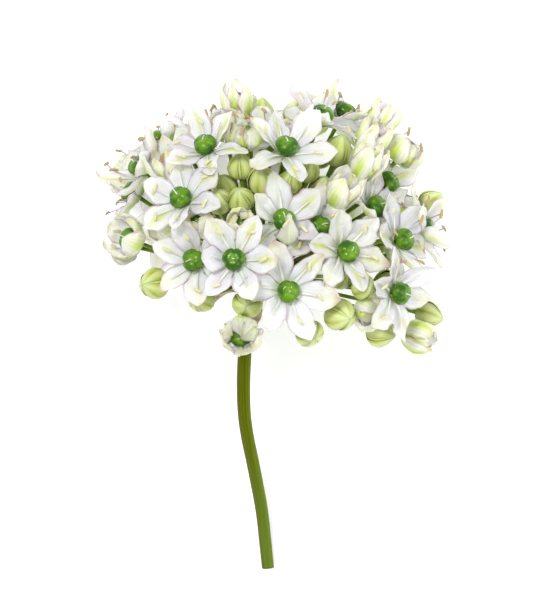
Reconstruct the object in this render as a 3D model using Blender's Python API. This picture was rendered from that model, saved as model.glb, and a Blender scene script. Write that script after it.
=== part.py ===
"""Allium nigrum: one cut flower, an umbel of white star flowers and green buds on its bare stem.

The flower lies on a table. Frame: +Z up, +Y from the cut end of the stem to the head, and the
origin on the table in the middle of the footprint. Every length below is in millimetres and
every angle in degrees; new_object() turns the points into Blender's metres.

The green of the head grew as one body: the knob at the top of the stem, the pedicels, the ovaries
at their ends and the closed buds. Each open flower has its own perianth, a star of six tepals with
a hole in its middle, which the pedicel passes through and the ovary holds on.
"""

import copy
import itertools
import math
import random

import bmesh
import bpy
import numpy as np
from mathutils import Matrix, Vector
from mathutils.bvhtree import BVHTree

MM = 0.001
STRAIGHT = 1e-4
UP = np.array([0.0, 0.0, 1.0])
ACROSS = np.array([1.0, 0.0, 0.0])
ALONG = np.array([0.0, 1.0, 0.0])

# The head: where its pedicels meet, and its outline seen from above, measured from there
HEAD_HEIGHT = 36.0
RECEPTACLE = np.array([-3.4, 13.0, HEAD_HEIGHT])
HEAD_MIDDLE = (2.5, 14.7)
HEAD_HALF_SPAN = (41.5, 32.0)
AXIS_LEAN = 17.5
AXIS_RISE = 20.0
KNOB_RADIUS = 3.6
KNOB_DEPTH = 2.8
KNOB_SEGMENTS = (12, 8)

# The stem: its middle line from the knob to the cut, as (right, along, height over the table)
STEM_ROUTE = [
    (-0.9, -2.85, 34.9),
    (-2.4, -7.6, 33.1),
    (-3.2, -18.3, 27.8),
    (-3.5, -27.7, 22.3),
    (-2.95, -36.0, 17.0),
    (-1.0, -46.0, 10.9),
    (0.85, -56.0, 5.5),
    (1.7, -63.5, 2.8),
    (2.4, -70.2, 1.52),
]
STEM_TOP_RADIUS = 1.72
STEM_CUT_RADIUS = 1.45
STEM_POINTS = 16

# The papery bract under the umbel
SPATHE_VALVES = 3
SPATHE_LENGTH = 10.5
SPATHE_HALF_WIDTH = 3.0
SPATHE_HOLE = 2.2
SPATHE_DROP = 5.4
SPATHE_ANGLES = (112.0, 160.0)
COLLAR_WIDTH = 1.0
COLLAR_HALF_DEPTH = 0.4
VALVE_ROOT = 0.6
VALVE_MIDDLE_SHARE = 0.45
VALVE_HALF_DEPTH = 0.35

# Pedicels: how far along its curve each ring lies, and how long its two handles are
PEDICEL_ROOT_RADIUS = 0.40
PEDICEL_RADIUS = 0.52
PEDICEL_ROOT_SHARE = 0.05
PEDICEL_MIDDLE_SHARE = 0.5
PEDICEL_BEND_SHARE = 0.9
PEDICEL_HANDLE = 0.3
NECK_RISE = 0.45
BENT_OVER = 18.0

# The pedicels touch in the crowded middle of the head, so only their outer part has to be clear.
CROWDED_SHARE = 0.4

# Ovary rings as (rise over the perianth, radius); the last ring is the flat top
OVARY_RINGS = [(1.2, 1.55), (2.9, 2.55), (4.5, 1.6)]
OVARY_TOP = 4.5
LOBE = 0.05

# Closed buds, as shares of a full bud's length and radius
BUD_LENGTH = 8.6
BUD_RADIUS = 3.55
BUD_RINGS = [(0.14, 0.62), (0.42, 1.0), (0.74, 0.68)]
KEEL = 0.07

# Tepals
TEPALS = 6
TEPAL_LENGTH = 10.2
TEPAL_HALF_WIDTH = 2.45
TEPAL_ROOT_HALF_WIDTH = 0.75
WIDEST_SHARE = 0.574
FULLNESS = 0.75
TEPAL_TOP = 0.2
TEPAL_BACK = 0.5
EDGE_LIFT = 0.35
WEDGE_SHARE = 0.52
DISC_RADIUS = 1.5
DISC_MIDDLE_RADIUS = 1.3
DISC_HALF_DEPTH = 0.35
HOLE_RADIUS = 0.95
CLEARANCE = 0.3

# How each kind of flower opens: the angle from the flower's axis at the tepal's root and at its tip
OPENING = {"open": (70.0, 97.0), "goblet": (80.0, -20.0), "cup": (62.0, -56.0)}
WIDTH_SHARE = {"open": 1.0, "goblet": 0.92, "cup": 0.85}
LENGTH_SHARE = {"open": 1.0, "goblet": 0.95, "cup": 0.9}
STATIONS = {
    "open": (0.0, 0.34, 0.70, 1.0),
    "goblet": (0.0, 0.28, 0.56, 0.82, 1.0),
    "cup": (0.0, 0.28, 0.56, 0.82, 1.0),
}

# Where a neighbour is in its way, a tepal bends further in or out, and then is shorter. The root
# takes a share of the bend.
BENDS = (0.0, -8.0, 8.0, -16.0, 16.0, -26.0, 26.0, -38.0, 38.0, -50.0, -62.0)
TRIMS = (1.0, 0.88, 0.76, 0.64)
ROOT_BEND = 0.6

# A crowded flower may also stand nearer or farther along its line of sight. Each tepal's bend in
# degrees, its lost length and each millimetre of that move count against a place.
SLIDES = (0.0, 1.2, -1.2, 2.4, -2.4, 3.6, -3.6, 5.0, -5.0, 6.5, -6.5)
COST_OF_TRIM = 120.0
COST_OF_SLIDE = 12.0
COST_OF_STAMEN = 10.0
NEIGHBOURHOOD = 32.0

# Stamens: a needle along each tepal, as shares of the tepal, with its height over the tepal
STAMEN_REACH = 0.66
STAMEN_LIFTS = (1.15, 0.75)

# The florets of the upper side: kind, right and along from the receptacle, reach to the middle of
# the ovary or bud, turn of the tepals, and size
FLORETS = [
    ("open", 7.4, -3.5, 44.0, -10.0, 1.1),
    ("open", -5.8, 4.3, 43.0, -3.0, 1.0),
    ("open", -15.5, 4.0, 43.0, 38.0, 0.95),
    ("open", 6.3, 13.8, 42.0, -22.0, 1.0),
    ("open", 15.2, 12.0, 40.0, -15.0, 1.0),
    ("open", 21.6, 6.3, 42.5, -8.0, 0.95),
    ("open", 28.7, 17.2, 43.0, -18.0, 1.05),
    ("open", 35.3, 9.0, 42.0, 10.0, 0.95),
    ("open", 34.5, -4.0, 43.5, -20.0, 1.0),
    ("open", -18.6, 18.9, 43.0, -28.0, 1.0),
    ("open", -12.8, 32.0, 44.0, -24.0, 1.0),
    ("open", -27.9, 26.8, 43.0, 0.0, 0.95),
    ("open", 7.2, 31.2, 43.0, -15.0, 1.05),
    ("open", 15.6, 39.4, 46.0, 30.0, 1.0),
    ("open", 20.8, 40.0, 45.6, 0.0, 0.85),
    ("goblet", -7.8, 35.8, 41.0, 10.0, 0.85),
    ("goblet", -2.8, 33.6, 42.0, 20.0, 0.7),
    ("open", 3.4, 35.2, 41.5, -5.0, 0.85),
    ("cup", 26.4, 31.8, 43.0, 20.0, 0.8),
    ("open", 31.6, 23.0, 42.8, 0.0, 0.95),
    ("open", 40.3, 12.0, 43.5, 25.0, 0.9),
    ("open", -25.0, 33.0, 41.5, 10.0, 0.9),
    ("open", -18.7, 33.2, 39.5, 40.0, 0.9),
    ("cup", 11.4, 36.4, 44.5, 0.0, 0.8),
    ("cup", -5.0, 40.6, 42.0, 20.0, 0.8),
    ("cup", -21.5, 25.2, 38.0, 10.0, 0.95),
    ("goblet", -31.0, 9.2, 39.5, 15.0, 0.95),
    ("goblet", -4.0, -13.8, 41.5, 35.0, 0.95),
    ("cup", 19.8, 19.9, 39.0, 0.0, 1.05),
    ("cup", -22.4, 11.2, 38.0, 30.0, 0.95),
    ("cup", -3.7, 12.4, 40.5, 0.0, 0.9),
    ("cup", -13.9, 12.8, 39.5, 20.0, 0.9),
    ("goblet", 25.8, -7.6, 40.5, 0.0, 0.8),
    ("cup", 38.0, -13.4, 42.0, 25.0, 1.0),
    ("goblet", 34.8, 29.8, 46.4, 0.0, 0.85),
    ("cup", 29.0, 36.4, 47.2, 35.0, 0.8),
    ("cup", 25.4, 26.4, 42.0, 0.0, 1.0),
    ("bud", 19.2, 29.8, 40.0, 0.0, 1.0),
    ("bud", 1.4, 23.0, 37.0, 15.0, 0.95),
    ("bud", 7.1, 23.2, 37.0, 30.0, 0.8),
    ("bud", 11.4, 25.2, 38.0, 0.0, 0.85),
    ("bud", -3.8, 26.0, 39.0, 30.0, 0.85),
    ("bud", -8.0, 21.6, 35.0, 10.0, 0.8),
    ("bud", -9.2, 18.0, 38.5, 40.0, 0.85),
    ("bud", -4.0, 18.2, 40.5, 20.0, 0.85),
    ("bud", 15.1, 28.5, 34.0, 0.0, 0.7),
    ("bud", 19.6, 24.4, 34.0, 20.0, 0.7),
    ("bud", 15.1, 21.5, 36.0, 0.0, 0.8),
    ("bud", -24.8, -1.5, 38.5, 10.0, 1.0),
    ("bud", -13.4, -5.4, 37.0, 30.0, 0.85),
    ("bud", -2.6, -6.4, 39.0, 15.0, 0.95),
    ("bud", 12.2, -13.4, 38.0, 0.0, 0.92),
    ("bud", 19.8, -9.2, 39.0, 20.0, 1.0),
    ("bud", 29.2, -13.2, 39.0, 10.0, 0.98),
    ("bud", 19.6, 0.2, 36.0, 0.0, 0.85),
    ("bud", 25.4, -3.0, 40.5, 30.0, 0.8),
    ("bud", 40.4, -9.6, 43.0, 0.0, 0.85),
    ("bud", 41.2, 17.6, 45.0, 20.0, 0.8),
    ("bud", 0.8, 39.4, 39.8, 0.0, 0.8),
]

# These first flowers show their ovaries from above: no tepal reaches over the middle of one.
SHOWN = 15
SHOWN_RADIUS = 1.7
SHOWN_HEIGHT = 60.0
SHOWN_SIDES = 3

# The middle of each kind over its base and the room it needs round that, at full size. Florets that
# crowd each other move apart mostly along the line of sight, so each keeps its place in the view
# from above.
ROOM = {"open": 4.6, "goblet": 5.4, "cup": 4.6, "bud": 3.7}
MIDDLE = {"open": 1.5, "goblet": 3.5, "cup": 4.0, "bud": 3.9}
MEASURED_AT = {"open": 2.9, "goblet": 2.9, "cup": 2.9, "bud": 3.9}
SPREAD_WAY = np.array([0.12, 0.12, 1.0])
SPREAD_ROUNDS = 120
SPREAD_STEP = 0.3
REACHES = (32.0, 48.0)

# Buds and half-open flowers above the receptacle turn a little further up than their pedicels
TURN_UP = {"open": 0.0, "goblet": 0.35, "cup": 0.6, "bud": 0.6}

# Three flowers on the underside carry the head: each faces straight down, its flat ovary on the table
RESTING = [(-19.0, 11.0, 12.0), (22.0, 10.0, 40.0), (3.0, 31.0, 0.0)]

# The rest of the underside fills itself: points spread evenly over the head by the golden angle,
# each drawn in until it lies this far inside the head's outline
FILL_POINTS = 120
FILL_LOWEST = 88.0
FILL_SPACING = 14.0
FILL_BUD_INSIDE = 34.0
FILL_REACH = {"open": 42.0, "goblet": 40.0, "bud": 36.5}
FILL_REACH_SPREAD = 1.6
FILL_LEAST_REACH = 29.0
FILL_STEP = 0.5
FILL_KINDS = ("open", "bud", "open", "goblet", "bud")
FILL_MARGIN = {"open": 9.5, "goblet": 8.0, "bud": 7.5}
FILL_SIZE = 0.95
TABLE_GAP = {"open": 5.6, "goblet": 9.5, "bud": 9.0}
GOLDEN_ANGLE = 137.508
SEED = 7

FINISH = {
    "perianth": ((0.90, 0.91, 0.86), 0.55),
    "umbel": ((0.26, 0.42, 0.07), 0.45),
    "scape": ((0.25, 0.33, 0.05), 0.45),
    "spathe": ((0.62, 0.56, 0.38), 0.75),
}


def unit(vector):
    return vector / np.linalg.norm(vector)


def head_axis():
    """The way the umbel faces: leaning right of +Y, and rising off the table."""
    lean, rise = math.radians(AXIS_LEAN), math.radians(AXIS_RISE)
    return np.array(
        [math.sin(lean) * math.cos(rise), math.cos(lean) * math.cos(rise), math.sin(rise)]
    )


def angle_between(a, b):
    return math.degrees(math.acos(max(-1.0, min(1.0, float(unit(a) @ unit(b))))))


class Floret:
    """One flower or bud: its kind, where its pedicel ends, the way it faces, and its size.

    It may slide along its line when its neighbours leave it no room; a fixed one has no line.
    """

    def __init__(self, kind, base, facing, turn, size, line=None):
        self.kind = kind
        self.base = base
        self.facing = unit(facing)
        self.turn = turn
        self.size = size
        self.line = line
        # Two directions across the floret: the first lies as near to +X as its face allows.
        self.second = unit(np.cross(self.facing, ACROSS))
        self.first = np.cross(self.second, self.facing)

    def slid(self, distance):
        moved = copy.copy(self)
        moved.base = self.base + self.line * distance
        return moved

    def spoke(self, azimuth):
        """Outward and sideways directions at this azimuth round the floret's axis."""
        a = math.radians(azimuth + self.turn)
        out = math.cos(a) * self.first + math.sin(a) * self.second
        side = -math.sin(a) * self.first + math.cos(a) * self.second
        return out, side


def spread(middles, rooms):
    """Moves crowded florets apart, a little in each round, until each has its room."""
    for _ in range(SPREAD_ROUNDS):
        for i, j in itertools.combinations(range(len(middles)), 2):
            gap = middles[j] - middles[i]
            lack = rooms[i] + rooms[j] - np.linalg.norm(gap)
            if lack > 0:
                push = unit(gap * SPREAD_WAY) * lack * SPREAD_STEP
                middles[i] -= push
                middles[j] += push
        for middle in middles:
            across = math.hypot(middle[0], middle[1])
            lowest = math.sqrt(max(REACHES[0] ** 2 - across**2, 0.0))
            highest = math.sqrt(max(REACHES[1] ** 2 - across**2, 1.0))
            middle[2] = min(max(middle[2], lowest), highest)
    return middles


def upper_florets():
    """The florets of the upper side, facing out from the receptacle once they have their room."""
    middles, rooms = [], []
    for kind, right, along, reach, _, size in FLORETS:
        place = np.array([right, along, math.sqrt(reach**2 - right**2 - along**2)])
        middles.append(place + unit(place) * (MIDDLE[kind] - MEASURED_AT[kind]) * size)
        rooms.append(ROOM[kind] * size)
    florets = []
    for (kind, _, _, _, turn, size), middle in zip(FLORETS, spread(middles, rooms)):
        outward = unit(middle)
        facing = unit(outward + ALONG * TURN_UP[kind] * max(outward[1], 0.0))
        base = RECEPTACLE + middle - facing * MIDDLE[kind] * size
        florets.append(Floret(kind, base, facing, turn, size, UP))
    return florets


def resting_florets():
    """The three flowers that the head lies on."""
    return [
        Floret("open", np.array([RECEPTACLE[0] + x, RECEPTACLE[1] + y, OVARY_TOP]), -UP, turn, 1.0)
        for x, y, turn in RESTING
    ]


def filling_florets(placed):
    """Florets for the side that is turned to the table, where none stands within FILL_SPACING."""
    axis = head_axis()
    across = unit(np.cross(axis, UP))
    behind = np.cross(across, axis)
    lowest = math.cos(math.radians(FILL_LOWEST))
    draw = random.Random(SEED)
    taken = [floret.base - RECEPTACLE for floret in placed]
    made = []
    for i in range(FILL_POINTS):
        cosine = 1 - (i + 0.5) / FILL_POINTS * (1 - lowest)
        sine = math.sqrt(1 - cosine**2)
        azimuth = math.radians(i * GOLDEN_ANGLE)
        way = cosine * axis + sine * (math.cos(azimuth) * across + math.sin(azimuth) * behind)
        stretch = draw.uniform(-FILL_REACH_SPREAD, FILL_REACH_SPREAD)
        turn = draw.uniform(0, 360 / TEPALS)
        if min(angle_between(way, other) for other in taken) < FILL_SPACING:
            continue
        kind = FILL_KINDS[len(made) % len(FILL_KINDS)]
        if angle_between(way, axis) < FILL_BUD_INSIDE:
            kind = "bud"
        reach = FILL_REACH[kind] + stretch
        if way[2] < 0:
            reach = min(reach, (HEAD_HEIGHT - TABLE_GAP[kind]) / -way[2])
        span = np.array(HEAD_HALF_SPAN) - FILL_MARGIN[kind]
        while reach > FILL_LEAST_REACH and np.linalg.norm((way[:2] * reach - HEAD_MIDDLE) / span) > 1:
            reach -= FILL_STEP
        if reach <= FILL_LEAST_REACH:
            continue
        made.append(Floret(kind, RECEPTACLE + way * reach, way, turn, FILL_SIZE, -way))
        taken.append(way)
    return made


def pedicel_line(floret, root_share=PEDICEL_ROOT_SHARE):
    """Points and directions along the pedicel, which leaves the knob outwards and meets its flower
    along the flower's axis: a cubic Bezier curve."""
    reach = floret.base - RECEPTACLE
    knots = (
        RECEPTACLE,
        RECEPTACLE + reach * PEDICEL_HANDLE,
        floret.base - floret.facing * PEDICEL_HANDLE * np.linalg.norm(reach),
        floret.base,
    )
    shares = [root_share, PEDICEL_MIDDLE_SHARE]
    if angle_between(reach, floret.facing) > BENT_OVER:
        shares.append(PEDICEL_BEND_SHARE)
    line = []
    for t in shares:
        a, b, c, d = knots
        point = (1 - t) ** 3 * a + 3 * t * (1 - t) ** 2 * b + 3 * t**2 * (1 - t) * c + t**3 * d
        way = (1 - t) ** 2 * (b - a) + 2 * t * (1 - t) * (c - b) + t**2 * (d - c)
        line.append((point, unit(way)))
    return line


def ring(centre, way, floret, radius, count, swell=0.0):
    """A ring of points round a line; swell raises every other point and lowers those between."""
    side = unit(floret.first - way * float(floret.first @ way))
    other = np.cross(way, side)
    points = []
    for i in range(count):
        a = math.radians(floret.turn + 360 / TEPALS / 2 + 360 * i / count)
        r = radius * (1 + (swell if i % 2 else -swell))
        points.append(centre + r * (math.cos(a) * side + math.sin(a) * other))
    return points


def loft(rings, closed_tip=None):
    """Faces over rings of 6 or 12 points, capped at the start, and at a tip point or a flat end."""
    points, faces, starts = [], [], []
    for circle in rings:
        starts.append(len(points))
        points.extend(circle)
    for k in range(len(rings) - 1):
        n, m = len(rings[k]), len(rings[k + 1])
        a, b = starts[k], starts[k + 1]
        for i in range(n):
            j = (i + 1) % n
            if n == m:
                faces.append((a + i, a + j, b + j, b + i))
            else:
                low, mid, high = b + 2 * i, b + 2 * i + 1, b + (2 * i + 2) % m
                faces += [(a + i, mid, low), (a + i, a + j, mid), (a + j, high, mid)]
    faces.append(tuple(reversed(range(len(rings[0])))))
    last = starts[-1]
    count = len(rings[-1])
    if closed_tip is None:
        faces.append(tuple(range(last, last + count)))
    else:
        points.append(closed_tip)
        tip = len(points) - 1
        faces += [(last + i, last + (i + 1) % count, tip) for i in range(count)]
    return points, faces


def stalk(floret, root_share=PEDICEL_ROOT_SHARE):
    """A pedicel that ends in its ovary, or in a closed bud with six keels."""
    base, face, size = floret.base, floret.facing, floret.size
    line = pedicel_line(floret, root_share)
    radii = [PEDICEL_ROOT_RADIUS] + [PEDICEL_RADIUS] * (len(line) - 1)
    rings = [ring(point, way, floret, r, TEPALS) for (point, way), r in zip(line, radii)]
    if floret.kind == "bud":
        rings.append(ring(base, face, floret, PEDICEL_RADIUS, TEPALS))
        for rise, radius in BUD_RINGS:
            centre = base + face * rise * BUD_LENGTH * size
            rings.append(ring(centre, face, floret, radius * BUD_RADIUS * size, 2 * TEPALS, KEEL))
        return loft(rings, base + face * BUD_LENGTH * size)
    rings.append(ring(base + face * NECK_RISE, face, floret, PEDICEL_RADIUS, TEPALS))
    for rise, radius in OVARY_RINGS:
        rings.append(ring(base + face * rise, face, floret, radius, TEPALS, LOBE))
    return loft(rings)


def tepal_section(kind, length, angles, share):
    """Distance from the flower's axis, rise, angle and half width of a tepal at this share of it.

    The angle from the axis changes evenly along the tepal, so its middle line is an arc.
    """
    root, tip = (math.radians(a) for a in angles)
    turn = tip - root if abs(tip - root) > STRAIGHT else STRAIGHT
    angle = root + turn * share
    out = DISC_MIDDLE_RADIUS + length * (math.cos(root) - math.cos(angle)) / turn
    rise = length * (math.sin(angle) - math.sin(root)) / turn
    late = share ** (math.log(0.5) / math.log(WIDEST_SHARE)) if share else 0.0
    swell = max(math.sin(math.pi * late), 0.0) ** FULLNESS
    width = TEPAL_ROOT_HALF_WIDTH * (1 - share) + TEPAL_HALF_WIDTH * WIDTH_SHARE[kind] * swell
    return out, rise, angle, min(width, WEDGE_SHARE * out)


def tepal_points(floret, index, bend, grow=0.0):
    """Rows of (left, middle top, right, middle back) along a tepal, and its tip."""
    shift, trim = bend
    root, tip = OPENING[floret.kind]
    angles = (root + ROOT_BEND * shift, tip + shift)
    length = TEPAL_LENGTH * LENGTH_SHARE[floret.kind] * floret.size * trim + grow
    out_way, side_way = floret.spoke(index * 360 / TEPALS)
    rows = []
    for share in STATIONS[floret.kind]:
        out, rise, angle, half = tepal_section(floret.kind, length, angles, share)
        middle = floret.base + out_way * out + floret.facing * rise
        inward = math.sin(angle) * floret.facing - math.cos(angle) * out_way
        if share == 1:
            return rows, middle
        top = DISC_HALF_DEPTH if share == 0 else TEPAL_TOP
        back = DISC_HALF_DEPTH if share == 0 else TEPAL_BACK
        lift = EDGE_LIFT * half / TEPAL_HALF_WIDTH
        rows.append(
            (
                middle - side_way * (half + grow) + inward * lift,
                middle + inward * (top + grow),
                middle + side_way * (half + grow) + inward * lift,
                middle - inward * (back + grow),
            )
        )


def stamen_tip(floret, index, bend, lift):
    rows, tip = tepal_points(floret, index, bend)
    start = (rows[0][0] + rows[0][2]) / 2
    middle = (rows[1][1] + rows[2][1]) / 2
    along = unit(tip - start)
    inward = unit(rows[1][1] - rows[1][3])
    reach = STAMEN_REACH * np.linalg.norm(tip - start)
    return start + along * reach + inward * (lift + float((middle - start) @ inward))


def tepal_blade(floret, index, bend, grow):
    """One tepal as loose faces, for testing what it would touch."""
    rows, tip = tepal_points(floret, index, bend, grow)
    points = [point for row in rows for point in row] + [tip]
    faces = []
    for k in range(len(rows) - 1):
        a, b = 4 * k, 4 * k + 4
        faces += [(a + i, a + (i + 1) % 4, b + (i + 1) % 4, b + i) for i in range(4)]
    last = 4 * (len(rows) - 1)
    faces += [(last + i, last + (i + 1) % 4, len(points) - 1) for i in range(4)]
    return points, faces


def tree_of(points, faces):
    return BVHTree.FromPolygons([Vector(p) for p in points], faces)


def tree_of_object(obj):
    """A tree like the others, in millimetres, of an object that is already built."""
    graph = bpy.context.evaluated_depsgraph_get()
    mesh = bpy.data.meshes.new_from_object(obj.evaluated_get(graph))
    points = [vertex.co / MM for vertex in mesh.vertices]
    faces = [tuple(face.vertices) for face in mesh.polygons]
    bpy.data.meshes.remove(mesh)
    return BVHTree.FromPolygons(points, faces)


def is_clear(points, faces, trees, lowest=CLEARANCE):
    """True where a shape stays over the table and crosses nothing that is already there."""
    if min(point[2] for point in points) < lowest:
        return False
    tree = tree_of(points, faces)
    return not any(tree.overlap(other) for other in trees)


def cost_of_bend(bend):
    shift, trim = bend
    return abs(shift) + COST_OF_TRIM * (1 - trim)


def stamen_lift(floret, index, bend, trees):
    """How high the stamen stands over its tepal, or None where its neighbours leave it no room."""
    for lift in STAMEN_LIFTS:
        apex = stamen_tip(floret, index, bend, lift)
        foot = tepal_points(floret, index, bend)[0][0][1]
        raised = [point + floret.facing * CLEARANCE for point in (foot, apex)]
        if is_clear([*raised, apex], [(0, 1, 2)], trees):
            return lift
    return None


def opened(floret, trees):
    """How a flower opens: each tepal as far as its neighbours let it, with its stamen if that fits.

    Returns the cost of this place with the closed shape, or None where a tepal finds no room.
    """
    bends, lifts = [], []
    choices = sorted(itertools.product(BENDS, TRIMS), key=cost_of_bend)
    for index in range(TEPALS):
        fitting = (b for b in choices if is_clear(*tepal_blade(floret, index, b, CLEARANCE), trees))
        bend = next(fitting, None)
        if bend is None:
            return None
        bends.append(bend)
        lifts.append(stamen_lift(floret, index, bend, trees))
    shape = perianth(floret, bends, lifts)
    for index in range(TEPALS):
        if not is_clear(*shape, trees):
            lifts[index] = None
            shape = perianth(floret, bends, lifts)
    if not is_clear(*shape, trees):
        return None
    return sum(map(cost_of_bend, bends)) + COST_OF_STAMEN * lifts.count(None), shape


def view_over(floret):
    """A column that stands on a flower's middle, for tepals to keep out of."""
    foot = floret.base + floret.facing * MIDDLE["open"]
    azimuths = [i * 360 / SHOWN_SIDES for i in range(SHOWN_SIDES)]
    circle = [foot + SHOWN_RADIUS * floret.spoke(azimuth)[0] for azimuth in azimuths]
    return loft([circle, [point + UP * SHOWN_HEIGHT for point in circle]])


def settled(place, florets, stalks, shown, built):
    """The best slide of one flower: its cost, the floret, its stalk and its perianth.

    Built holds trees of the pieces that stand already. Returns None where there is no room.
    """
    floret = florets[place]
    others = list(built)
    for i, other in enumerate(florets):
        if i != place and np.linalg.norm(other.base - floret.base) < NEIGHBOURHOOD:
            others.append(tree_of(*stalks[i]))
            if i in shown:
                others.append(tree_of(*view_over(other)))
    best = None
    for slide in SLIDES if floret.line is not None else (0.0,):
        if best is not None and COST_OF_SLIDE * abs(slide) >= best[0]:
            continue
        moved = floret.slid(slide) if slide else floret
        own = stalk(moved)
        if slide and not is_clear(*stalk(moved, CROWDED_SHARE), others):
            continue
        fitted = opened(moved, others + [tree_of(*own)])
        if fitted is None:
            continue
        cost = fitted[0] + COST_OF_SLIDE * abs(slide)
        if best is None or cost < best[0]:
            best = (cost, moved, own, fitted[1])
    return best


def perianth(floret, bends, lifts):
    """Six tepals round a hole, as one closed surface with sharp edges, with their stamens."""
    points, faces = [], []

    def add(point):
        points.append(point)
        return len(points) - 1

    tops, backs, notches = [], [], []
    for index in range(TEPALS):
        out, _ = floret.spoke((index + 0.5) * 360 / TEPALS)
        centre = floret.base + out * HOLE_RADIUS
        tops.append(add(centre + floret.facing * DISC_HALF_DEPTH))
        backs.append(add(centre - floret.facing * DISC_HALF_DEPTH))
        notches.append(add(floret.base + out * DISC_RADIUS))
    for index in range(TEPALS):
        before = index - 1
        rows, tip = tepal_points(floret, index, bends[index])
        cells = [(notches[before], add(rows[0][1]), notches[index], add(rows[0][3]))]
        cells += [tuple(add(point) for point in row) for row in rows[1:]]
        end = add(tip)
        left, top, right, back = cells[0]
        inner = (tops[before], tops[index])
        faces += [(inner[0], left, top), (inner[1], top, right)]
        if lifts[index] is None:
            faces.append((inner[0], top, inner[1]))
        else:
            apex = add(stamen_tip(floret, index, bends[index], lifts[index]))
            faces += [(inner[0], top, apex), (top, inner[1], apex), (inner[1], inner[0], apex)]
        under = (backs[before], backs[index])
        faces += [(under[0], back, left), (under[0], under[1], back), (under[1], right, back)]
        faces.append((inner[0], inner[1], under[1], under[0]))
        for low, high in zip(cells, cells[1:]):
            # Both sides of the thin blade are split alike, from its sharp edges.
            for edge, ridge in itertools.product((0, 2), (1, 3)):
                faces += [
                    (low[edge], high[edge], high[ridge]),
                    (low[edge], high[ridge], low[ridge]),
                ]
        last = cells[-1]
        faces += [(last[i], end, last[(i + 1) % 4]) for i in range(4)]
    return points, faces


def spathe():
    """The bract: papery valves that fold back along the stem from a collar round its top."""
    axis = head_axis()
    centre = RECEPTACLE - axis * SPATHE_DROP
    floret = Floret("open", centre, axis, 0.0, 1.0)
    points, faces = [], []
    step = 360 / (2 * SPATHE_VALVES)
    rim = 2 * SPATHE_VALVES
    for i in range(rim):
        out, _ = floret.spoke(i * step)
        for width, rise in (
            (0.0, COLLAR_HALF_DEPTH),
            (COLLAR_WIDTH, 0.0),
            (0.0, -COLLAR_HALF_DEPTH),
        ):
            points.append(centre + out * (SPATHE_HOLE + width) + axis * rise)
    for i in range(rim):
        a, b = 3 * i, 3 * ((i + 1) % rim)
        faces.append((a, b, b + 2, a + 2))
        if i % 2:
            faces += [(a, a + 1, b + 1, b), (a + 2, b + 2, b + 1, a + 1)]
            continue
        # A valve grows from this side of the collar.
        low = (a + 1, a, b, b + 1, b + 2, a + 2)
        out_way, side_way = floret.spoke((i + 0.5) * step)
        root, tip = (math.radians(angle) for angle in SPATHE_ANGLES)
        start = len(points)
        for share in (VALVE_MIDDLE_SHARE, 1.0):
            angle = root + (tip - root) * share
            reach = SPATHE_LENGTH * (math.cos(root) - math.cos(angle)) / (tip - root)
            rise = SPATHE_LENGTH * (math.sin(angle) - math.sin(root)) / (tip - root)
            middle = centre + out_way * (SPATHE_HOLE + VALVE_ROOT + reach) + axis * rise
            if share < 1:
                inward = math.sin(angle) * axis - math.cos(angle) * out_way
                points += [
                    middle - side_way * SPATHE_HALF_WIDTH,
                    middle + inward * VALVE_HALF_DEPTH,
                    middle + side_way * SPATHE_HALF_WIDTH,
                    middle - inward * VALVE_HALF_DEPTH,
                ]
            else:
                points.append(middle)
        faces += [
            (low[1], low[0], start, start + 1),
            (low[2], low[1], start + 1),
            (low[3], low[2], start + 1, start + 2),
            (low[4], low[3], start + 2, start + 3),
            (low[5], low[4], start + 3),
            (low[0], low[5], start + 3, start),
        ]
        faces += [(start + k, start + 4, start + (k + 1) % 4) for k in range(4)]
    return points, faces


def clear_scene():
    for obj in list(bpy.data.objects):
        bpy.data.objects.remove(obj, do_unlink=True)


def collection(name, hidden=False):
    group = bpy.data.collections.new(name)
    bpy.context.scene.collection.children.link(group)
    group.hide_render = hidden
    return group


def material(name):
    colour, roughness = FINISH[name]
    made = bpy.data.materials.new(name)
    made.use_nodes = True
    shader = made.node_tree.nodes["Principled BSDF"]
    shader.inputs["Base Color"].default_value = (*colour, 1.0)
    shader.inputs["Roughness"].default_value = roughness
    shader.inputs["Metallic"].default_value = 0.0
    return made


def new_object(name, points, faces, group, look):
    """A mesh object in metres, with its faces turned outwards."""
    mesh = bpy.data.meshes.new(name)
    mesh.from_pydata([tuple(point * MM) for point in points], [], faces)
    shape = bmesh.new()
    shape.from_mesh(mesh)
    bmesh.ops.recalc_face_normals(shape, faces=shape.faces)
    shape.to_mesh(mesh)
    shape.free()
    mesh.materials.append(look)
    obj = bpy.data.objects.new(name, mesh)
    group.objects.link(obj)
    return obj


def smooth_route(route, count):
    """Points spread along a smooth curve through the route's own points (Catmull-Rom)."""
    knots = [np.array(point) for point in route]
    knots = [2 * knots[0] - knots[1], *knots, 2 * knots[-1] - knots[-2]]
    spans = len(route) - 1
    points = []
    for i in range(count):
        place = i / (count - 1) * spans
        k = min(int(place), spans - 1)
        t = place - k
        a, b, c, d = knots[k : k + 4]
        quadratic = 2 * a - 5 * b + 4 * c - d
        cubic = 3 * b - a - 3 * c + d
        points.append((2 * b + (c - a) * t + quadratic * t**2 + cubic * t**3) / 2)
    return points


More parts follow.
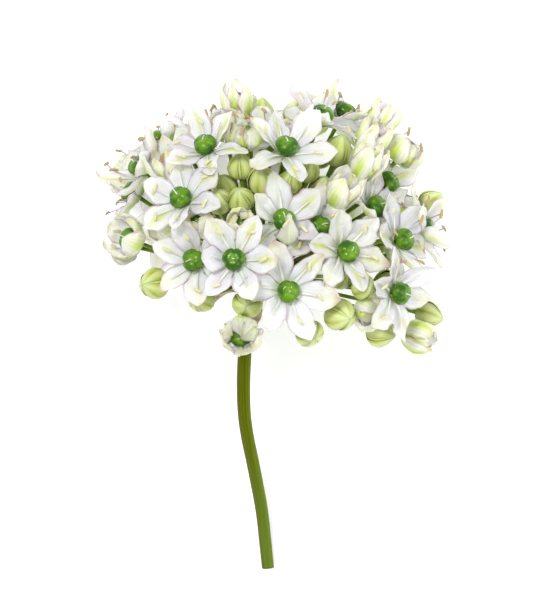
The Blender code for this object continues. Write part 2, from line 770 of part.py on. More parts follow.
def build_scape(group, look):
    """The bare stem: a round tube, a little thinner towards the cut, with flat ends."""
    curve = bpy.data.curves.new("scape", "CURVE")
    curve.dimensions = "3D"
    curve.bevel_depth = STEM_TOP_RADIUS * MM
    curve.bevel_resolution = 2
    curve.use_fill_caps = True
    line = smooth_route(STEM_ROUTE, STEM_POINTS)
    spline = curve.splines.new("POLY")
    spline.points.add(len(line) - 1)
    foot = RECEPTACLE * np.array([1.0, 1.0, 0.0])
    for i, point in enumerate(line):
        share = i / (len(line) - 1)
        spline.points[i].co = (*((foot + point) * MM), 1.0)
        spline.points[i].radius = 1 + (STEM_CUT_RADIUS / STEM_TOP_RADIUS - 1) * share
    curve.materials.append(look)
    obj = bpy.data.objects.new("scape", curve)
    group.objects.link(obj)
    return obj


def build_umbel(florets, group, cutters, look):
    """The knob, with every pedicel, ovary and closed bud joined to it by one Boolean union."""
    turn = Vector(UP).rotation_difference(Vector(head_axis()))
    size = Vector((KNOB_RADIUS, KNOB_RADIUS, KNOB_DEPTH)) * MM
    place = Matrix.LocRotScale(Vector(RECEPTACLE) * MM, turn, size)
    shape = bmesh.new()
    round_it, down_it = KNOB_SEGMENTS
    bmesh.ops.create_uvsphere(
        shape, u_segments=round_it, v_segments=down_it, radius=1.0, matrix=place
    )
    mesh = bpy.data.meshes.new("umbel")
    shape.to_mesh(mesh)
    shape.free()
    mesh.materials.append(look)
    knob = bpy.data.objects.new("umbel", mesh)
    group.objects.link(knob)
    for number, floret in enumerate(florets, 1):
        new_object(f"stalk_{number:02d}", *stalk(floret), cutters, look)
    union = knob.modifiers.new("grown together", "BOOLEAN")
    union.operation = "UNION"
    union.operand_type = "COLLECTION"
    union.collection = cutters
    union.solver = "MANIFOLD"
    graph = bpy.context.evaluated_depsgraph_get()
    joined = bpy.data.meshes.new_from_object(knob.evaluated_get(graph))
    knob.modifiers.clear()
    knob.data = joined
    for obj in list(cutters.objects):
        bpy.data.objects.remove(obj, do_unlink=True)
    bpy.data.collections.remove(cutters)
    return knob


def main():
    clear_scene()
    parts = collection("allium_nigrum")
    cutters = collection("stalks to join", hidden=True)
    looks = {name: material(name) for name in FINISH}

    scape = build_scape(parts, looks["scape"])
    new_object("spathe", *spathe(), parts, looks["spathe"])
    built = [tree_of_object(scape), tree_of(*spathe())]

    florets = upper_florets() + resting_florets()
    florets += filling_florets(florets)
    stalks = [stalk(floret) for floret in florets]
    order = [i for i, floret in enumerate(florets) if floret.kind in ("cup", "goblet")]
    order += [i for i, floret in enumerate(florets) if floret.kind == "open"]
    for number, place in enumerate(order, 1):
        best = settled(place, florets, stalks, range(SHOWN), built)
        if best is None:
            raise RuntimeError(f"no room for floret {place} at {florets[place].base}")
        _, florets[place], stalks[place], shape = best
        built.append(tree_of(*shape))
        new_object(f"perianth_{number:02d}", *shape, parts, looks["perianth"])

    build_umbel(florets, parts, cutters, looks["umbel"])


main()
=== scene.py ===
# %% [markdown]
# # One cut allium nigrum, lying on a pale table
#
# A round head of white star flowers and green buds on a bare stem. The solid parts are loaded first,
# as a fixed frame. Each is then dressed with a fine surface worked out from its own points, so every
# tepal, bud and stalk stays where the solid has it. Everything is in metres, with the table at
# height zero and the camera looking straight down.

# %% Load the frame
import math

import bpy
import numpy as np
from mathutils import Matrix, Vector


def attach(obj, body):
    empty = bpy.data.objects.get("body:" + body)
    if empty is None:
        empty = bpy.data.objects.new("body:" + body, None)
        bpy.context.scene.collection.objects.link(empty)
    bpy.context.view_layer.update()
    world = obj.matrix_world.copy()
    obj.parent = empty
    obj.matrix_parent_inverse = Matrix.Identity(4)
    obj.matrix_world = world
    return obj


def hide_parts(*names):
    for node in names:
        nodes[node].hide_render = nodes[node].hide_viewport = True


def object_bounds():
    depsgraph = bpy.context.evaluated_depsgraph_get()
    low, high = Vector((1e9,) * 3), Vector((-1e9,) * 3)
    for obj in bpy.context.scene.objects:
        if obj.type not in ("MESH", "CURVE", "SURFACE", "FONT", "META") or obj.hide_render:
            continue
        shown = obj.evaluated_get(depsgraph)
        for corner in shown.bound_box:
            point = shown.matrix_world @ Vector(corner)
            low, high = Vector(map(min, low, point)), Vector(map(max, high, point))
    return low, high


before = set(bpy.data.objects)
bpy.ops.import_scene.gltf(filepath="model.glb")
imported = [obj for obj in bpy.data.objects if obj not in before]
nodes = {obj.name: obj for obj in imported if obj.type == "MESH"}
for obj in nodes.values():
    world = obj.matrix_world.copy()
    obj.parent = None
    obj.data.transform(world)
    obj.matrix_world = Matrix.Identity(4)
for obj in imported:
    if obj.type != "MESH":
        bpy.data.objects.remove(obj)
solid_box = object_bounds()
print("solid parts:", len(nodes))

# %% [markdown]
# ## Reading the solids
#
# A loaded solid is a heap of loose triangles. Blender could merge its points, but the solid may not
# be changed, so numpy does it on a copy: equal rows are found with np.unique, and each triangle
# then names the joined points. The edges follow from the triangles.

# %% Points and edges of a solid
MM = 0.001
WELD_DECIMALS = 6
draw = np.random.default_rng(11)


def unit(vectors):
    """Each vector divided by its length."""
    return vectors / np.linalg.norm(vectors, axis=-1, keepdims=True)


def full_turn(count):
    """This many angles, spread evenly over a full turn."""
    return np.arange(count) * 2 * math.pi / count


def spokes(angles, first, second):
    """The cosine of the angles times the first direction, plus the sine times the second."""
    return np.cos(angles)[..., None] * first + np.sin(angles)[..., None] * second


def solid(node):
    """The joined points of a solid and its edges, as pairs of point numbers."""
    mesh = nodes[node].data
    flat = np.empty(3 * len(mesh.vertices), np.float32)
    mesh.vertices.foreach_get("co", flat)
    corners = np.empty(len(mesh.loops), np.int32)
    mesh.loops.foreach_get("vertex_index", corners)
    rounded = flat.reshape(-1, 3).round(WELD_DECIMALS)
    points, place = np.unique(rounded, axis=0, return_inverse=True)
    triangles = place.reshape(-1)[corners].reshape(-1, 3)
    pairs = np.concatenate([triangles[:, [0, 1]], triangles[:, [1, 2]], triangles[:, [2, 0]]])
    return points.astype(float), np.unique(np.sort(pairs, axis=1), axis=0)


stem_points = solid("scape")[0]
print("points of the stem's solid:", len(stem_points))

# %% [markdown]
# ## Where each flower is, and how its tepals run
#
# A perianth is the star of six tepals round the ovary. In the solid it has a hole in its middle, and
# the wall of the hole has six upright edges. They are the only parallel edges of their length, so
# they give the flower's axis and its base. The tepals lie between them, a sixth of a turn each.
#
# Along each tepal the solid has a few rows of points on a smooth bow. A cubic through them gives the
# tepal's middle line at any share of its length, finer than the facets. Where the solid has a
# stamen, its tip is the one point that stands well off this line.

# %% Read the flowers
TEPALS = 6
RIM_HEIGHT = 0.7 * MM
WALL_TOLERANCE = 0.005 * MM
PARALLEL = 0.9999
TEPAL_ROOT = 1.3 * MM
PAST_RIM = 1.8 * MM
ON_RIDGE = 0.05 * MM
LEAST_LIFT = 0.45 * MM
CURVE_STEPS = np.linspace(0, 1, 41)


def on_curve(curve, share):
    """Place and direction on one or more cubics at these shares: the sum of the powers of the
    share times the cubic's four pairs, and the unit vector along the sum of their slopes."""
    powers = np.stack([share**3, share**2, share, np.ones_like(share)], axis=-1)
    slopes = np.stack([3 * share**2, 2 * share, np.ones_like(share), 0 * share], axis=-1)
    return powers @ curve, unit(slopes @ curve)


def read_tepal(flat):
    """Curve, length, half width, and share and height of the stamen, from (out, up, side) points.
    The curve is the cubic of (out, up) by the share of the path through the rows."""
    flat = flat[np.linalg.norm(flat, axis=1).argsort()]
    ridge = flat[abs(flat[:, 2]) < ON_RIDGE][:, :2]
    rows = flat[flat[:, 2] > ON_RIDGE]
    bow = np.concatenate([[[TEPAL_ROOT, 0.0]], rows[:, :2], ridge[-1:]])
    steps = np.linalg.norm(np.diff(bow, axis=0), axis=1)
    curve = np.polyfit(np.concatenate([[0.0], np.cumsum(steps)]) / steps.sum(), bow, 3)
    place, way = on_curve(curve, CURVE_STEPS)
    inward = np.stack([-way[:, 1], way[:, 0]], axis=1)
    apart = ridge[:, None] - place
    nearest = (apart**2).sum(axis=2).argmin(axis=1)
    lifts = (apart[np.arange(len(ridge)), nearest] * inward[nearest]).sum(axis=1)
    tall = lifts.argmax()
    stamen = (CURVE_STEPS[nearest[tall]], lifts[tall]) if lifts[tall] > LEAST_LIFT else (0.0, 0.0)
    return curve, steps.sum(), rows[:, 2].max(), stamen


def read_flower(node):
    """Base, facing and tepals of a perianth. A tepal's points are those in its sixth of a turn."""
    points, edges = solid(node)
    spans = points[edges[:, 1]] - points[edges[:, 0]]
    lengths = np.linalg.norm(spans, axis=1)
    walls = np.flatnonzero(abs(lengths - RIM_HEIGHT) < WALL_TOLERANCE)
    ways = spans[walls] / lengths[walls, None]
    alike = abs(ways @ ways.T) > PARALLEL
    best = alike.sum(axis=1).argmax()
    middles = points[edges[walls[alike[best]]]].mean(axis=1)
    base = middles.mean(axis=0)
    facing = ways[best] * np.sign(ways[best] @ (points.mean(axis=0) - base))
    first = unit(middles[0] - base)
    out = spokes((np.arange(TEPALS) + 0.5) * 2 * math.pi / TEPALS, first, np.cross(facing, first))
    side = np.cross(facing, out)
    local = points - base
    local = local[np.linalg.norm(local, axis=1) > PAST_RIM]
    found = []
    for index in range(TEPALS):
        flat = local @ np.stack([out[index], facing, side[index]], axis=1)
        found.append(read_tepal(flat[flat[:, 0] > abs(flat[:, 2]) / math.tan(math.pi / TEPALS)]))
    tepals = dict(zip(("curve", "length", "half", "stamen"), map(np.array, zip(*found))))
    return {"base": base, "facing": facing, "out": out, "side": side, **tepals}


flowers = {name: read_flower(name) for name in sorted(nodes) if name.startswith("perianth")}
bases = np.array([flower["base"] for flower in flowers.values()])
facings = np.array([flower["facing"] for flower in flowers.values()])
print("flowers:", len(flowers))

# %% [markdown]
# ## Where the stalks meet
#
# The pedicels of an umbel spring from one point, the receptacle. Most open flowers face straight
# away from it, so the lines along their axes meet there. The point nearest to many lines is a
# least-squares problem: each line adds the matrix that drops whatever lies along it. The few
# flowers that turn aside are left out in the later rounds.

# %% The receptacle
ROUNDS = 4
KEPT_SHARE = 0.5


def meeting_point(starts, ways):
    """The point nearest to the lines, found again a few times with the nearer half of them."""
    kept = np.arange(len(starts))
    for _ in range(ROUNDS):
        across = np.eye(3) - ways[:, :, None] * ways[:, None]
        pulls = np.einsum("kij,kj->ki", across, starts)
        point = np.linalg.solve(across[kept].sum(axis=0), pulls[kept].sum(axis=0))
        missed = np.linalg.norm(np.einsum("kij,kj->ki", across, point - starts), axis=1)
        kept = missed.argsort()[: int(len(starts) * KEPT_SHARE)]
    return point


receptacle = meeting_point(bases, facings)
print("receptacle, mm:", (receptacle / MM).round(2))

# %% [markdown]
# ## Where the closed buds are
#
# A closed bud ends in a point where twelve facets meet. No other point away from the receptacle
# has so many edges. The ring of the twelve neighbours gives the bud's axis and its size, and the
# neighbours that stand out furthest lie on the keels of its tepals.

# %% Read the buds
BUD_SIDES = 12
BUD_LENGTH = 8.6 * MM
BUD_RADIUS = 3.55 * MM
TIP_SHARE = 0.26
NEAR_KNOB = 10 * MM


def read_buds(node):
    """Base, facing, size, first keel and the direction beside it of each bud, as arrays."""
    points, edges = solid(node)
    valence = np.bincount(edges.ravel(), minlength=len(points))
    away = np.linalg.norm(points - receptacle, axis=1) > NEAR_KNOB
    tips = np.flatnonzero((valence == BUD_SIDES) & away)
    rings = np.array([points[edges[(edges == tip).any(axis=1)].sum(axis=1) - tip] for tip in tips])
    spans = points[tips] - rings.mean(axis=1)
    rise = np.linalg.norm(spans, axis=1)
    size = rise / (TIP_SHARE * BUD_LENGTH)
    facing = spans / rise[:, None]
    reach = rings - rings.mean(axis=1, keepdims=True)
    keel = np.linalg.norm(reach, axis=2).argmax(axis=1)
    first = unit(reach[np.arange(len(tips)), keel])
    base = points[tips] - facing * BUD_LENGTH * size[:, None]
    return base, facing, size, first, np.cross(facing, first)


bud_base, bud_facing, bud_size, bud_first, bud_second = read_buds("umbel")
print("buds:", len(bud_size), "sizes", bud_size.round(2))

# %% [markdown]
# ## Skins in numpy
#
# Every piece here is a closed skin: rings of points that are carried along the piece, joined to each
# other, and drawn together to a pole at both ends. A tepal, a bud, an anther and a stalk differ only
# in where their rings lie, so one helper joins the rings of them all, for many items at once.
#
# It also keeps two numbers at every corner of every face, the share of the way around the ring
# and the share of the way along the item. The materials draw veins and bands with them. They are
# kept at the corners, not at the points, because the last face of a ring runs up to 1 and the first
# one starts at 0, at the same point.

# %% Rings into skins
SKIN = "skin"
TINT = "tint"


def corner_marks(turns, shares):
    """The two numbers of each corner of some faces, from their shares around and along."""
    pairs = np.broadcast_arrays(np.stack(turns, axis=-1), np.stack(shares, axis=-1))
    return np.stack(pairs, axis=-1)


def closed_part(points, faces, tint, paint):
    """Closed items that are all joined alike, from points shaped (items, points, 3) and groups of
    faces with their marks. The volume is a sixth of the sum of the determinants of the triangles.
    Where it is negative, the faces look inwards and are turned."""
    items, count = points.shape[:2]
    fans = [group[:, [0, k, k + 1]] for group, _ in faces for k in range(1, group.shape[1] - 1)]
    if np.linalg.det(points[:, np.concatenate(fans)]).sum() < 0:
        faces = [(group[:, ::-1], marks[:, ::-1]) for group, marks in faces]
    corners = np.concatenate([group.ravel() for group, _ in faces])
    sizes = np.concatenate([np.full(len(group), group.shape[1]) for group, _ in faces])
    marks = np.concatenate([marks.reshape(-1, 2) for _, marks in faces])
    return {
        "points": points.reshape(-1, 3),
        "corners": (corners + np.arange(items)[:, None] * count).ravel(),
        "sizes": np.tile(sizes, items),
        "marks": np.tile(marks, (items, 1)),
        TINT: np.repeat(np.broadcast_to(tint, items), count),
        "paint": np.full(items * len(sizes), paint),
    }


def skins(rings, start=None, end=None, tint=0.0, paint=0, along=None):
    """Closed skins from rings of points, shaped (items, rows, around, 3), and a pole at each end,
    which is in the middle of the end ring if none is given. Neighbours on two rings make faces of
    four sides, and the end rings make fans to the poles."""
    items, rows, around = rings.shape[:3]
    start = rings[:, 0].mean(axis=1) if start is None else start
    end = rings[:, -1].mean(axis=1) if end is None else end
    points = np.concatenate([rings.reshape(items, -1, 3), start[:, None], end[:, None]], axis=1)
    along = np.linspace(0, 1, rows + 2)[1:-1] if along is None else along
    here = np.arange(rows * around).reshape(rows, around)
    ahead = np.roll(here, -1, axis=1)
    first, last = np.full((2, around), [[here.size], [here.size + 1]])
    left, middle, right = (np.arange(around) + part for part in (0, 0.5, 1))
    left, middle, right = left / around, middle / around, right / around
    low, high = along[:-1, None], along[1:, None]
    quads = np.stack([here[:-1], ahead[:-1], ahead[1:], here[1:]], axis=-1).reshape(-1, 4)
    quad_marks = corner_marks([left, right, right, left], [low, low, high, high])
    faces = [
        (quads, quad_marks.reshape(-1, 4, 2)),
        (
            np.stack([first, ahead[0], here[0]], axis=1),
            corner_marks([middle, right, left], [0, along[0], along[0]]),
        ),
        (
            np.stack([last, here[-1], ahead[-1]], axis=1),
            corner_marks([middle, left, right], [1, along[-1], along[-1]]),
        ),
    ]
    return closed_part(points, faces, tint, paint)


def piece(name, parts, paints, node):
    """One smooth mesh of all the parts, riding on the body and replacing the node."""
    whole = {key: np.concatenate([part[key] for part in parts]) for key in parts[0]}
    counts = [len(part["points"]) for part in parts]
    jumps = np.repeat(np.cumsum([0] + counts[:-1]), [len(part["corners"]) for part in parts])
    mesh = bpy.data.meshes.new(name)
    mesh.vertices.add(len(whole["points"]))
    mesh.vertices.foreach_set("co", whole["points"].astype(np.float32).ravel())
    mesh.loops.add(len(jumps))
    mesh.loops.foreach_set("vertex_index", (whole["corners"] + jumps).astype(np.int32))
    sizes = whole["sizes"]
    mesh.polygons.add(len(sizes))
    mesh.polygons.foreach_set("loop_start", (np.cumsum(sizes) - sizes).astype(np.int32))
    mesh.polygons.foreach_set("material_index", whole["paint"].astype(np.int32))
    mesh.update(calc_edges=True)
    mesh.shade_smooth()
    skin = mesh.uv_layers.new(name=SKIN)
    skin.uv.foreach_set("vector", whole["marks"].astype(np.float32).ravel())
    values = mesh.attributes.new(TINT, "FLOAT", "POINT")
    values.data.foreach_set("value", whole[TINT].astype(np.float32))
    for paint in paints:
        mesh.materials.append(paint)
    obj = bpy.data.objects.new(name, mesh)
    bpy.context.collection.objects.link(obj)
    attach(obj, "root")
    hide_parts(node)
    return obj


print("marks at the corners:", SKIN, "and a number for each item:", TINT)

# %% [markdown]
# ## Tubes along a path
#
# A stalk, a filament and a style are all a ring carried along a curved path. The path is a Bezier
# curve, whose few knots are easy to place: it leaves the first knot towards the second one, and
# arrives at the last from the one before. The ring's plane is square to the path, and its first
# radius is a fixed direction with the part along the path taken out, so it doesn't twist.

# %% Paths and tubes
def bezier(knots, shares):
    """Points on Bezier curves of any degree at these shares, by the sum of the knots times their
    Bernstein weights, and the direction there. Knots are shaped (..., count, 3)."""
    degree = knots.shape[-2] - 1

    def mix(points, power):
        """The points times the Bernstein weights of this power."""
        weights = [
            math.comb(power, k) * shares**k * (1 - shares) ** (power - k) for k in range(power + 1)
        ]
        return np.stack(weights, axis=-1) @ points

    return mix(knots, degree), unit(mix(np.diff(knots, axis=-2), degree - 1))


def tube(path, way, across, radii, around, flatness=1.0):
    """Rings along a path, each with two radii square to the path. The flatness shortens the
    second one."""
    first = unit(across - way * (across * way).sum(axis=-1, keepdims=True))
    second = np.cross(way, first)[..., None, :]
    radii = np.broadcast_to(radii, path.shape[:-1])[..., None, None]
    spread = spokes(full_turn(around), first[..., None, :], flatness * second)
    return path[..., None, :] + radii * spread


half_way = bezier(np.array([[0.0, 0, 0], [0, 0, 1], [1, 0, 1]]), np.array([0.5]))
print("half way round a corner:", half_way[0].round(2), "heading", half_way[1].round(2))

# %% [markdown]
# ## Wiring materials
#
# A material is a small tree of nodes. A node's output knows the tree that it is in, so the helpers
# that work on outputs need no tree. One colour is laid over another through a mask, layer by layer,
# as paint would be. Numbers that are the same all over a surface are set on the shader itself.

# %% Helpers for nodes
NO_VALUE = [None] * 5


def put(tree, kind, *values, out=0, **settings):
    """A new node with its settings. Values that are sockets are linked, others are set, in order,
    and None leaves an input alone. Returns one output."""
    node = tree.nodes.new("ShaderNode" + kind)
    for key, value in settings.items():
        setattr(node, key, value)
    for socket, value in zip(node.inputs, values):
        if isinstance(value, bpy.types.NodeSocket):
            tree.links.new(value, socket)
        elif value is not None:
            socket.default_value = value
    return node.outputs[out]


def maths(operation, first, second=0.5, third=0.5):
    """A Math node in the tree of its first value."""
    return put(first.id_data, "Math", first, second, third, operation=operation)


def times(mask, *others):
    """A mask times other masks and numbers."""
    for other in others:
        mask = maths("MULTIPLY", mask, other)
    return mask


def fade(value, low, high, to_low=0.0, to_high=1.0):
    """A soft step: from to_low where the value is low to to_high where it is high."""
    ends = (low, high, to_low, to_high)
    return put(value.id_data, "MapRange", value, *ends, interpolation_type="SMOOTHSTEP")


def layered(ground, *layers):
    """Colours laid over the ground in turn, each where its mask is 1. A Mix node's five inputs
    between the factor and the colours are for other kinds of value."""
    for mask, colour in layers:
        colours = (*NO_VALUE, ground, colour)
        ground = put(mask.id_data, "Mix", mask, *colours, out=2, data_type="RGBA")
    return ground


def noise(place, waves, octaves):
    """Noise at a place, with this many waves to a unit."""
    return put(place.id_data, "TexNoise", place, None, waves, octaves)


def shader(name, **settings):
    """A material and its tree. The Principled shader's inputs are named in the settings."""
    material = bpy.data.materials.new(name)
    material.use_nodes = True
    inputs = material.node_tree.nodes["Principled BSDF"].inputs
    for key, value in settings.items():
        inputs[key.replace("_", " ")].default_value = value
    return material, material.node_tree


def dress(material, colour, height=None, depth=0.0, sockets=("Base Color",)):
    """The material, with the colour, and a bump of this depth in metres, linked to its shader."""
    tree = material.node_tree
    inputs = tree.nodes["Principled BSDF"].inputs
    for name in sockets:
        tree.links.new(colour, inputs[name])
    if height is not None:
        bump = tree.nodes.new("ShaderNodeBump")
        bump.inputs["Distance"].default_value = depth
        tree.links.new(height, bump.inputs["Height"])
        tree.links.new(bump.outputs["Normal"], inputs["Normal"])
    return material


print("helpers: put, maths, times, fade, layered, noise, shader, dress")

# %% [markdown]
# ## Two node groups
#
# What several materials need is made once, as a node group, and placed in each with its own values.
# Leaf marks turns the two numbers at the corners into the midrib, veins and streaks of a leafy
# skin. Blotches is soft noise, fixed to the object, for everything that is a little uneven.

# %% Leaf marks and blotches
OCTAVES = 3.0
OBJECT = 3
NUMBER = 2
STREAK_WAVES = (26.0, 2.4, 60.0)


def node_group(name, inputs, outputs):
    """A group with these numbers in and out, and the sockets of both inside it."""
    group = bpy.data.node_groups.new(name, "ShaderNodeTree")
    for way, names in (("INPUT", inputs), ("OUTPUT", outputs)):
        for socket in names:
            group.interface.new_socket(socket, in_out=way, socket_type="NodeSocketFloat")
    given = group.nodes.new("NodeGroupInput").outputs
    return group, given, group.nodes.new("NodeGroupOutput").inputs


def make_leaf_marks():
    """The marks of a leafy skin. Its rings start at one edge, cross the inner face to the other
    edge and come back over the back. So twice the share around, less its whole part, is the share
    across a face."""
    names = ("Across", "Along", "Back", "Midrib", "Veins", "Tint", "Streaks")
    group, given, results = node_group("leaf marks", ["Veins"], names)
    skin = put(group, "UVMap", uv_map=SKIN)
    around, along = (put(group, "SeparateXYZ", skin, out=axis) for axis in (0, 1))
    face = maths("FRACT", times(around, 2.0))
    across = maths("SINE", maths("MULTIPLY_ADD", face, math.pi, -math.pi / 2))
    back = maths("GREATER_THAN", around, 0.5)
    distance = maths("ABSOLUTE", across)
    midrib = fade(distance, 0.02, 0.38, 1.0, 0.0)
    vein = maths("SUBTRACT", maths("FRACT", times(across, given[0])), 0.5)
    veins = fade(maths("ABSOLUTE", vein), 0.02, 0.22, 1.0, 0.0)
    tint = put(group, "Attribute", attribute_name=TINT, out=NUMBER)
    places = [times(mask, waves) for mask, waves in zip((around, along, tint), STREAK_WAVES)]
    streaks = fade(noise(put(group, "CombineXYZ", *places), 1.0, OCTAVES), 0.36, 0.66)
    for socket, value in zip(results, (distance, along, back, midrib, veins, tint, streaks)):
        group.links.new(value, socket)
    return group


def make_blotches():
    """Noise of this many waves in a metre, faded between a low and a high value."""
    group, given, results = node_group("blotches", ["Waves", "Low", "High"], ["Mask"])
    cloud = noise(put(group, "TexCoord", out=OBJECT), given[0], OCTAVES)
    group.links.new(fade(cloud, given[1], given[2]), results[0])
    return group


leaf_marks = make_leaf_marks()
blotches = make_blotches()


def marks_of(tree, veins=3.5):
    """The leaf marks in a material, by name, with this many veins on each half."""
    return put(tree, "Group", veins, node_tree=leaf_marks).node.outputs


def speckle(tree, waves, low=0.35, high=0.65):
    """The blotches in a material."""
    return put(tree, "Group", waves, low, high, node_tree=blotches)


print("node groups:", leaf_marks.name, "and", blotches.name)

# %% [markdown]
# ## The white of the tepals
#
# A tepal is a thin white leaf, a little cool in its shadows. Light goes into it and comes out again,
# so it has some subsurface scattering. It also gives off a little of its own colour, a painted glow
# in place of light shining through it, so its shadows never get dark. A band of yellow-green runs
# along its midrib, strong at the foot and on the back, with fine veins and greyish streaks beside
# it. Its rim is speckled with brown, and here and there a tip has dried to a pinkish brown.
#
# The tepals of a flower that is only half open show their backs. These are cream, with a broad green
# band and an olive rim, and their painted glow is stronger. Both finishes come from one recipe.

# %% Tepal white
WHITE = (0.69, 0.71, 0.77, 1)
COOL_WHITE = (0.565, 0.56, 0.64, 1)
LILAC = (0.34, 0.23, 0.33, 1)
EDGE_MAUVE = (0.28, 0.17, 0.19, 1)
EDGE_OLIVE = (0.36, 0.27, 0.11, 1)
STREAK = (0.52, 0.54, 0.14, 1)
FLUSH = (0.60, 0.50, 0.60, 1)
VEIN_GREEN = (0.50, 0.54, 0.36, 1)
CREAM = (0.70, 0.68, 0.36, 1)
YOUNG_CREAM = (0.80, 0.81, 0.50, 1)
FOOT_GREEN = (0.42, 0.58, 0.22, 1)
BACK_GREEN = (0.43, 0.56, 0.07, 1)
DRY_TIP = (0.42, 0.24, 0.20, 1)
OLIVE_TIP = (0.50, 0.44, 0.20, 1)
TEPAL_SHINE = {"Roughness": 0.5, "Specular_IOR_Level": 0.3}
LIGHT_DEPTH = {"Subsurface_Scale": 1.2 * MM, "Subsurface_Radius": (1, 1, 1)}
VEIN_DEPTH = 0.06 * MM
SECOND_CHANCE = 7.3


def tepal_finish(name, glow, painted_glow, cream, veined, band_share, edge_colour, tip_colour, tip_from):
    """White with cool blotches and streaks, a lilac flush on some tepals and cream on the back and
    towards some tips. Over them the veins, a yellow-green lens on some, a lilac edge and a brown
    rim, then the green band, midrib and foot, and the coloured tips."""
    # The emission is a painted glow: each tepal gives off its own colour, so its shade stays pale.
    glows = {"Subsurface_Weight": glow, "Emission_Strength": painted_glow}
    material, tree = shader(name, **TEPAL_SHINE, **glows, **LIGHT_DEPTH)
    across, along, back, midrib, veins, tint, streaks = marks_of(tree)
    other = maths("FRACT", times(tint, SECOND_CHANCE))
    flushed = times(fade(tint, 0.10, 0.35, 0.75, 0.0), speckle(tree, 150))
    outside = maths("MULTIPLY_ADD", back, cream, 0.1 * cream)
    late = times(fade(along, 0.45, 0.95), fade(tint, 0.3, 0.9), 0.45)
    lens = times(fade(along, 0.3, 0.6), fade(along, 0.75, 0.97, 1.0, 0.0))
    lens = times(lens, fade(across, 0.05, 0.42, 1.0, 0.0), fade(other, 0.62, 0.78), 0.7)
    edge = times(fade(across, 0.80, 0.98), speckle(tree, 120, 0.25, 0.55))
    rim = times(fade(across, 0.88, 0.98), speckle(tree, 160, 0.40, 0.66))
    rim = maths("MULTIPLY_ADD", rim, 0.65, times(edge, 0.2))
    band = times(fade(across, 0.08, 0.62, 1.0, 0.0), back, band_share)
    ribbed = maths("MULTIPLY_ADD", fade(other, 0.55, 0.85), 0.30, 0.12)
    ribbed = maths("MULTIPLY_ADD", back, 0.45, ribbed)
    green = maths("MAXIMUM", times(midrib, ribbed), band)
    dry = fade(tint, tip_from, tip_from + 0.1)
    ground = layered(
        WHITE,
        (speckle(tree, 170), COOL_WHITE),
        (times(streaks, 0.6), COOL_WHITE),
        (flushed, FLUSH),
        (times(speckle(tree, 90, 0.45, 0.75), 0.3), CREAM),
        (outside, YOUNG_CREAM),
        (times(veins, veined), VEIN_GREEN),
        (late, CREAM),
        (lens, STREAK),
        (times(edge, 0.7), LILAC),
        (rim, edge_colour),
        (times(green, fade(along, 0.40, 0.97, 1.0, 0.15)), BACK_GREEN),
        (fade(along, 0.04, 0.34, 0.8, 0.0), FOOT_GREEN),
        (times(fade(along, 0.82, 0.99), dry, 0.8), tip_colour),
    )
    height = maths("MULTIPLY_ADD", veins, 0.35, midrib)
    return dress(material, ground, height, VEIN_DEPTH, ("Base Color", "Emission Color"))


open_white = tepal_finish(
    "open tepal",
    glow=0.85,
    painted_glow=0.02,
    cream=0.30,
    veined=0.26,
    band_share=0.45,
    edge_colour=EDGE_MAUVE,
    tip_colour=DRY_TIP,
    tip_from=0.80,
)
young_cream = tepal_finish(
    "young tepal",
    glow=0.80,
    # A stronger painted glow, so the shaded insides of the half-open flowers stay pale.
    painted_glow=0.15,
    cream=0.45,
    veined=0.42,
    band_share=0.95,
    edge_colour=EDGE_OLIVE,
    tip_colour=OLIVE_TIP,
    tip_from=0.30,
)
print("made", open_white.name, "and", young_cream.name)

# %% [markdown]
# ## The bow of a tepal
#
# A tepal is about 10 mm long and a quarter of a millimetre thick. It could be a flat sheet bent by
# modifiers, but it has to follow the bow of its solid exactly, and each one differs a little, so it
# is a formula on a grid. One number runs along the tepal, and one runs round its cross-section,
# over the face and back under it.
#
# In a flower that is still half closed, the tepals wrap round the flower's axis, so their
# cross-section is bent to the circle they stand on. The topmost cups have begun to flare.

# %% Points on the bows
OPEN_LEAN = (0.9, 1.6)
SHUT_FROM = 0.8
FLARE_RISE = 16 * MM
FACES_UP = (0.80, 0.25)


def on_tepals(flower, share, sideways, height):
    """Points on the bows of a flower's tepals.

    The bow gives a point and a direction at each share of the length. A point beside it keeps its
    distance from the middle line, drops by the square of it over twice the distance from the axis,
    as on a circle round the axis, as far as the tepal stands up, and is raised square to the bow.
    """
    place, way = on_curve(flower["curve"], share)
    place, way = place[..., None, :], way[..., None, :]
    stands = np.maximum(way[..., 1], 0) ** 2
    drop = stands * sideways**2 / (2 * np.maximum(place[..., 0], MM))
    out = (place[..., 0] - drop - way[..., 1] * height)[..., None]
    rise = (place[..., 1] + way[..., 0] * height)[..., None]
    level = out * flower["out"][:, None, None] + sideways[..., None] * flower["side"][:, None, None]
    return flower["base"] + level + rise * flower["facing"]


def youth_of(flower):
    """How far from open a flower is: 0 where the tips point outwards, 1 where they lean in."""
    way = on_curve(flower["curve"], np.ones(1))[1]
    return float(np.clip((OPEN_LEAN[0] - way[..., 0].mean()) / OPEN_LEAN[1], 0, 1))


def opening_of(flower):
    """How far the tips of a cup bend outwards, from 0 to 1: the further, the higher in the head it
    stands, and the less its mouth faces up from the table."""
    shut = max(youth_of(flower) - SHUT_FROM, 0) / (1 - SHUT_FROM)
    higher = np.clip((flower["base"][1] - receptacle[1]) / FLARE_RISE, 0, 1)
    return shut * higher * np.clip((FACES_UP[0] - flower["facing"][2]) / FACES_UP[1], 0, 1)


youths = [youth_of(flower) for flower in flowers.values()]
print("youth of the flowers:", round(min(youths), 2), "to", round(max(youths), 2))

# %% [markdown]
# ## The outline of a tepal
#
# A tepal is narrow at its foot, widest past its middle, and drawn to a blunt point. Three of the six
# stand outside the other three, and in a young flower they are broad enough to lap over them. No
# two are alike, so waves of the share along and across make the edge a little ragged.

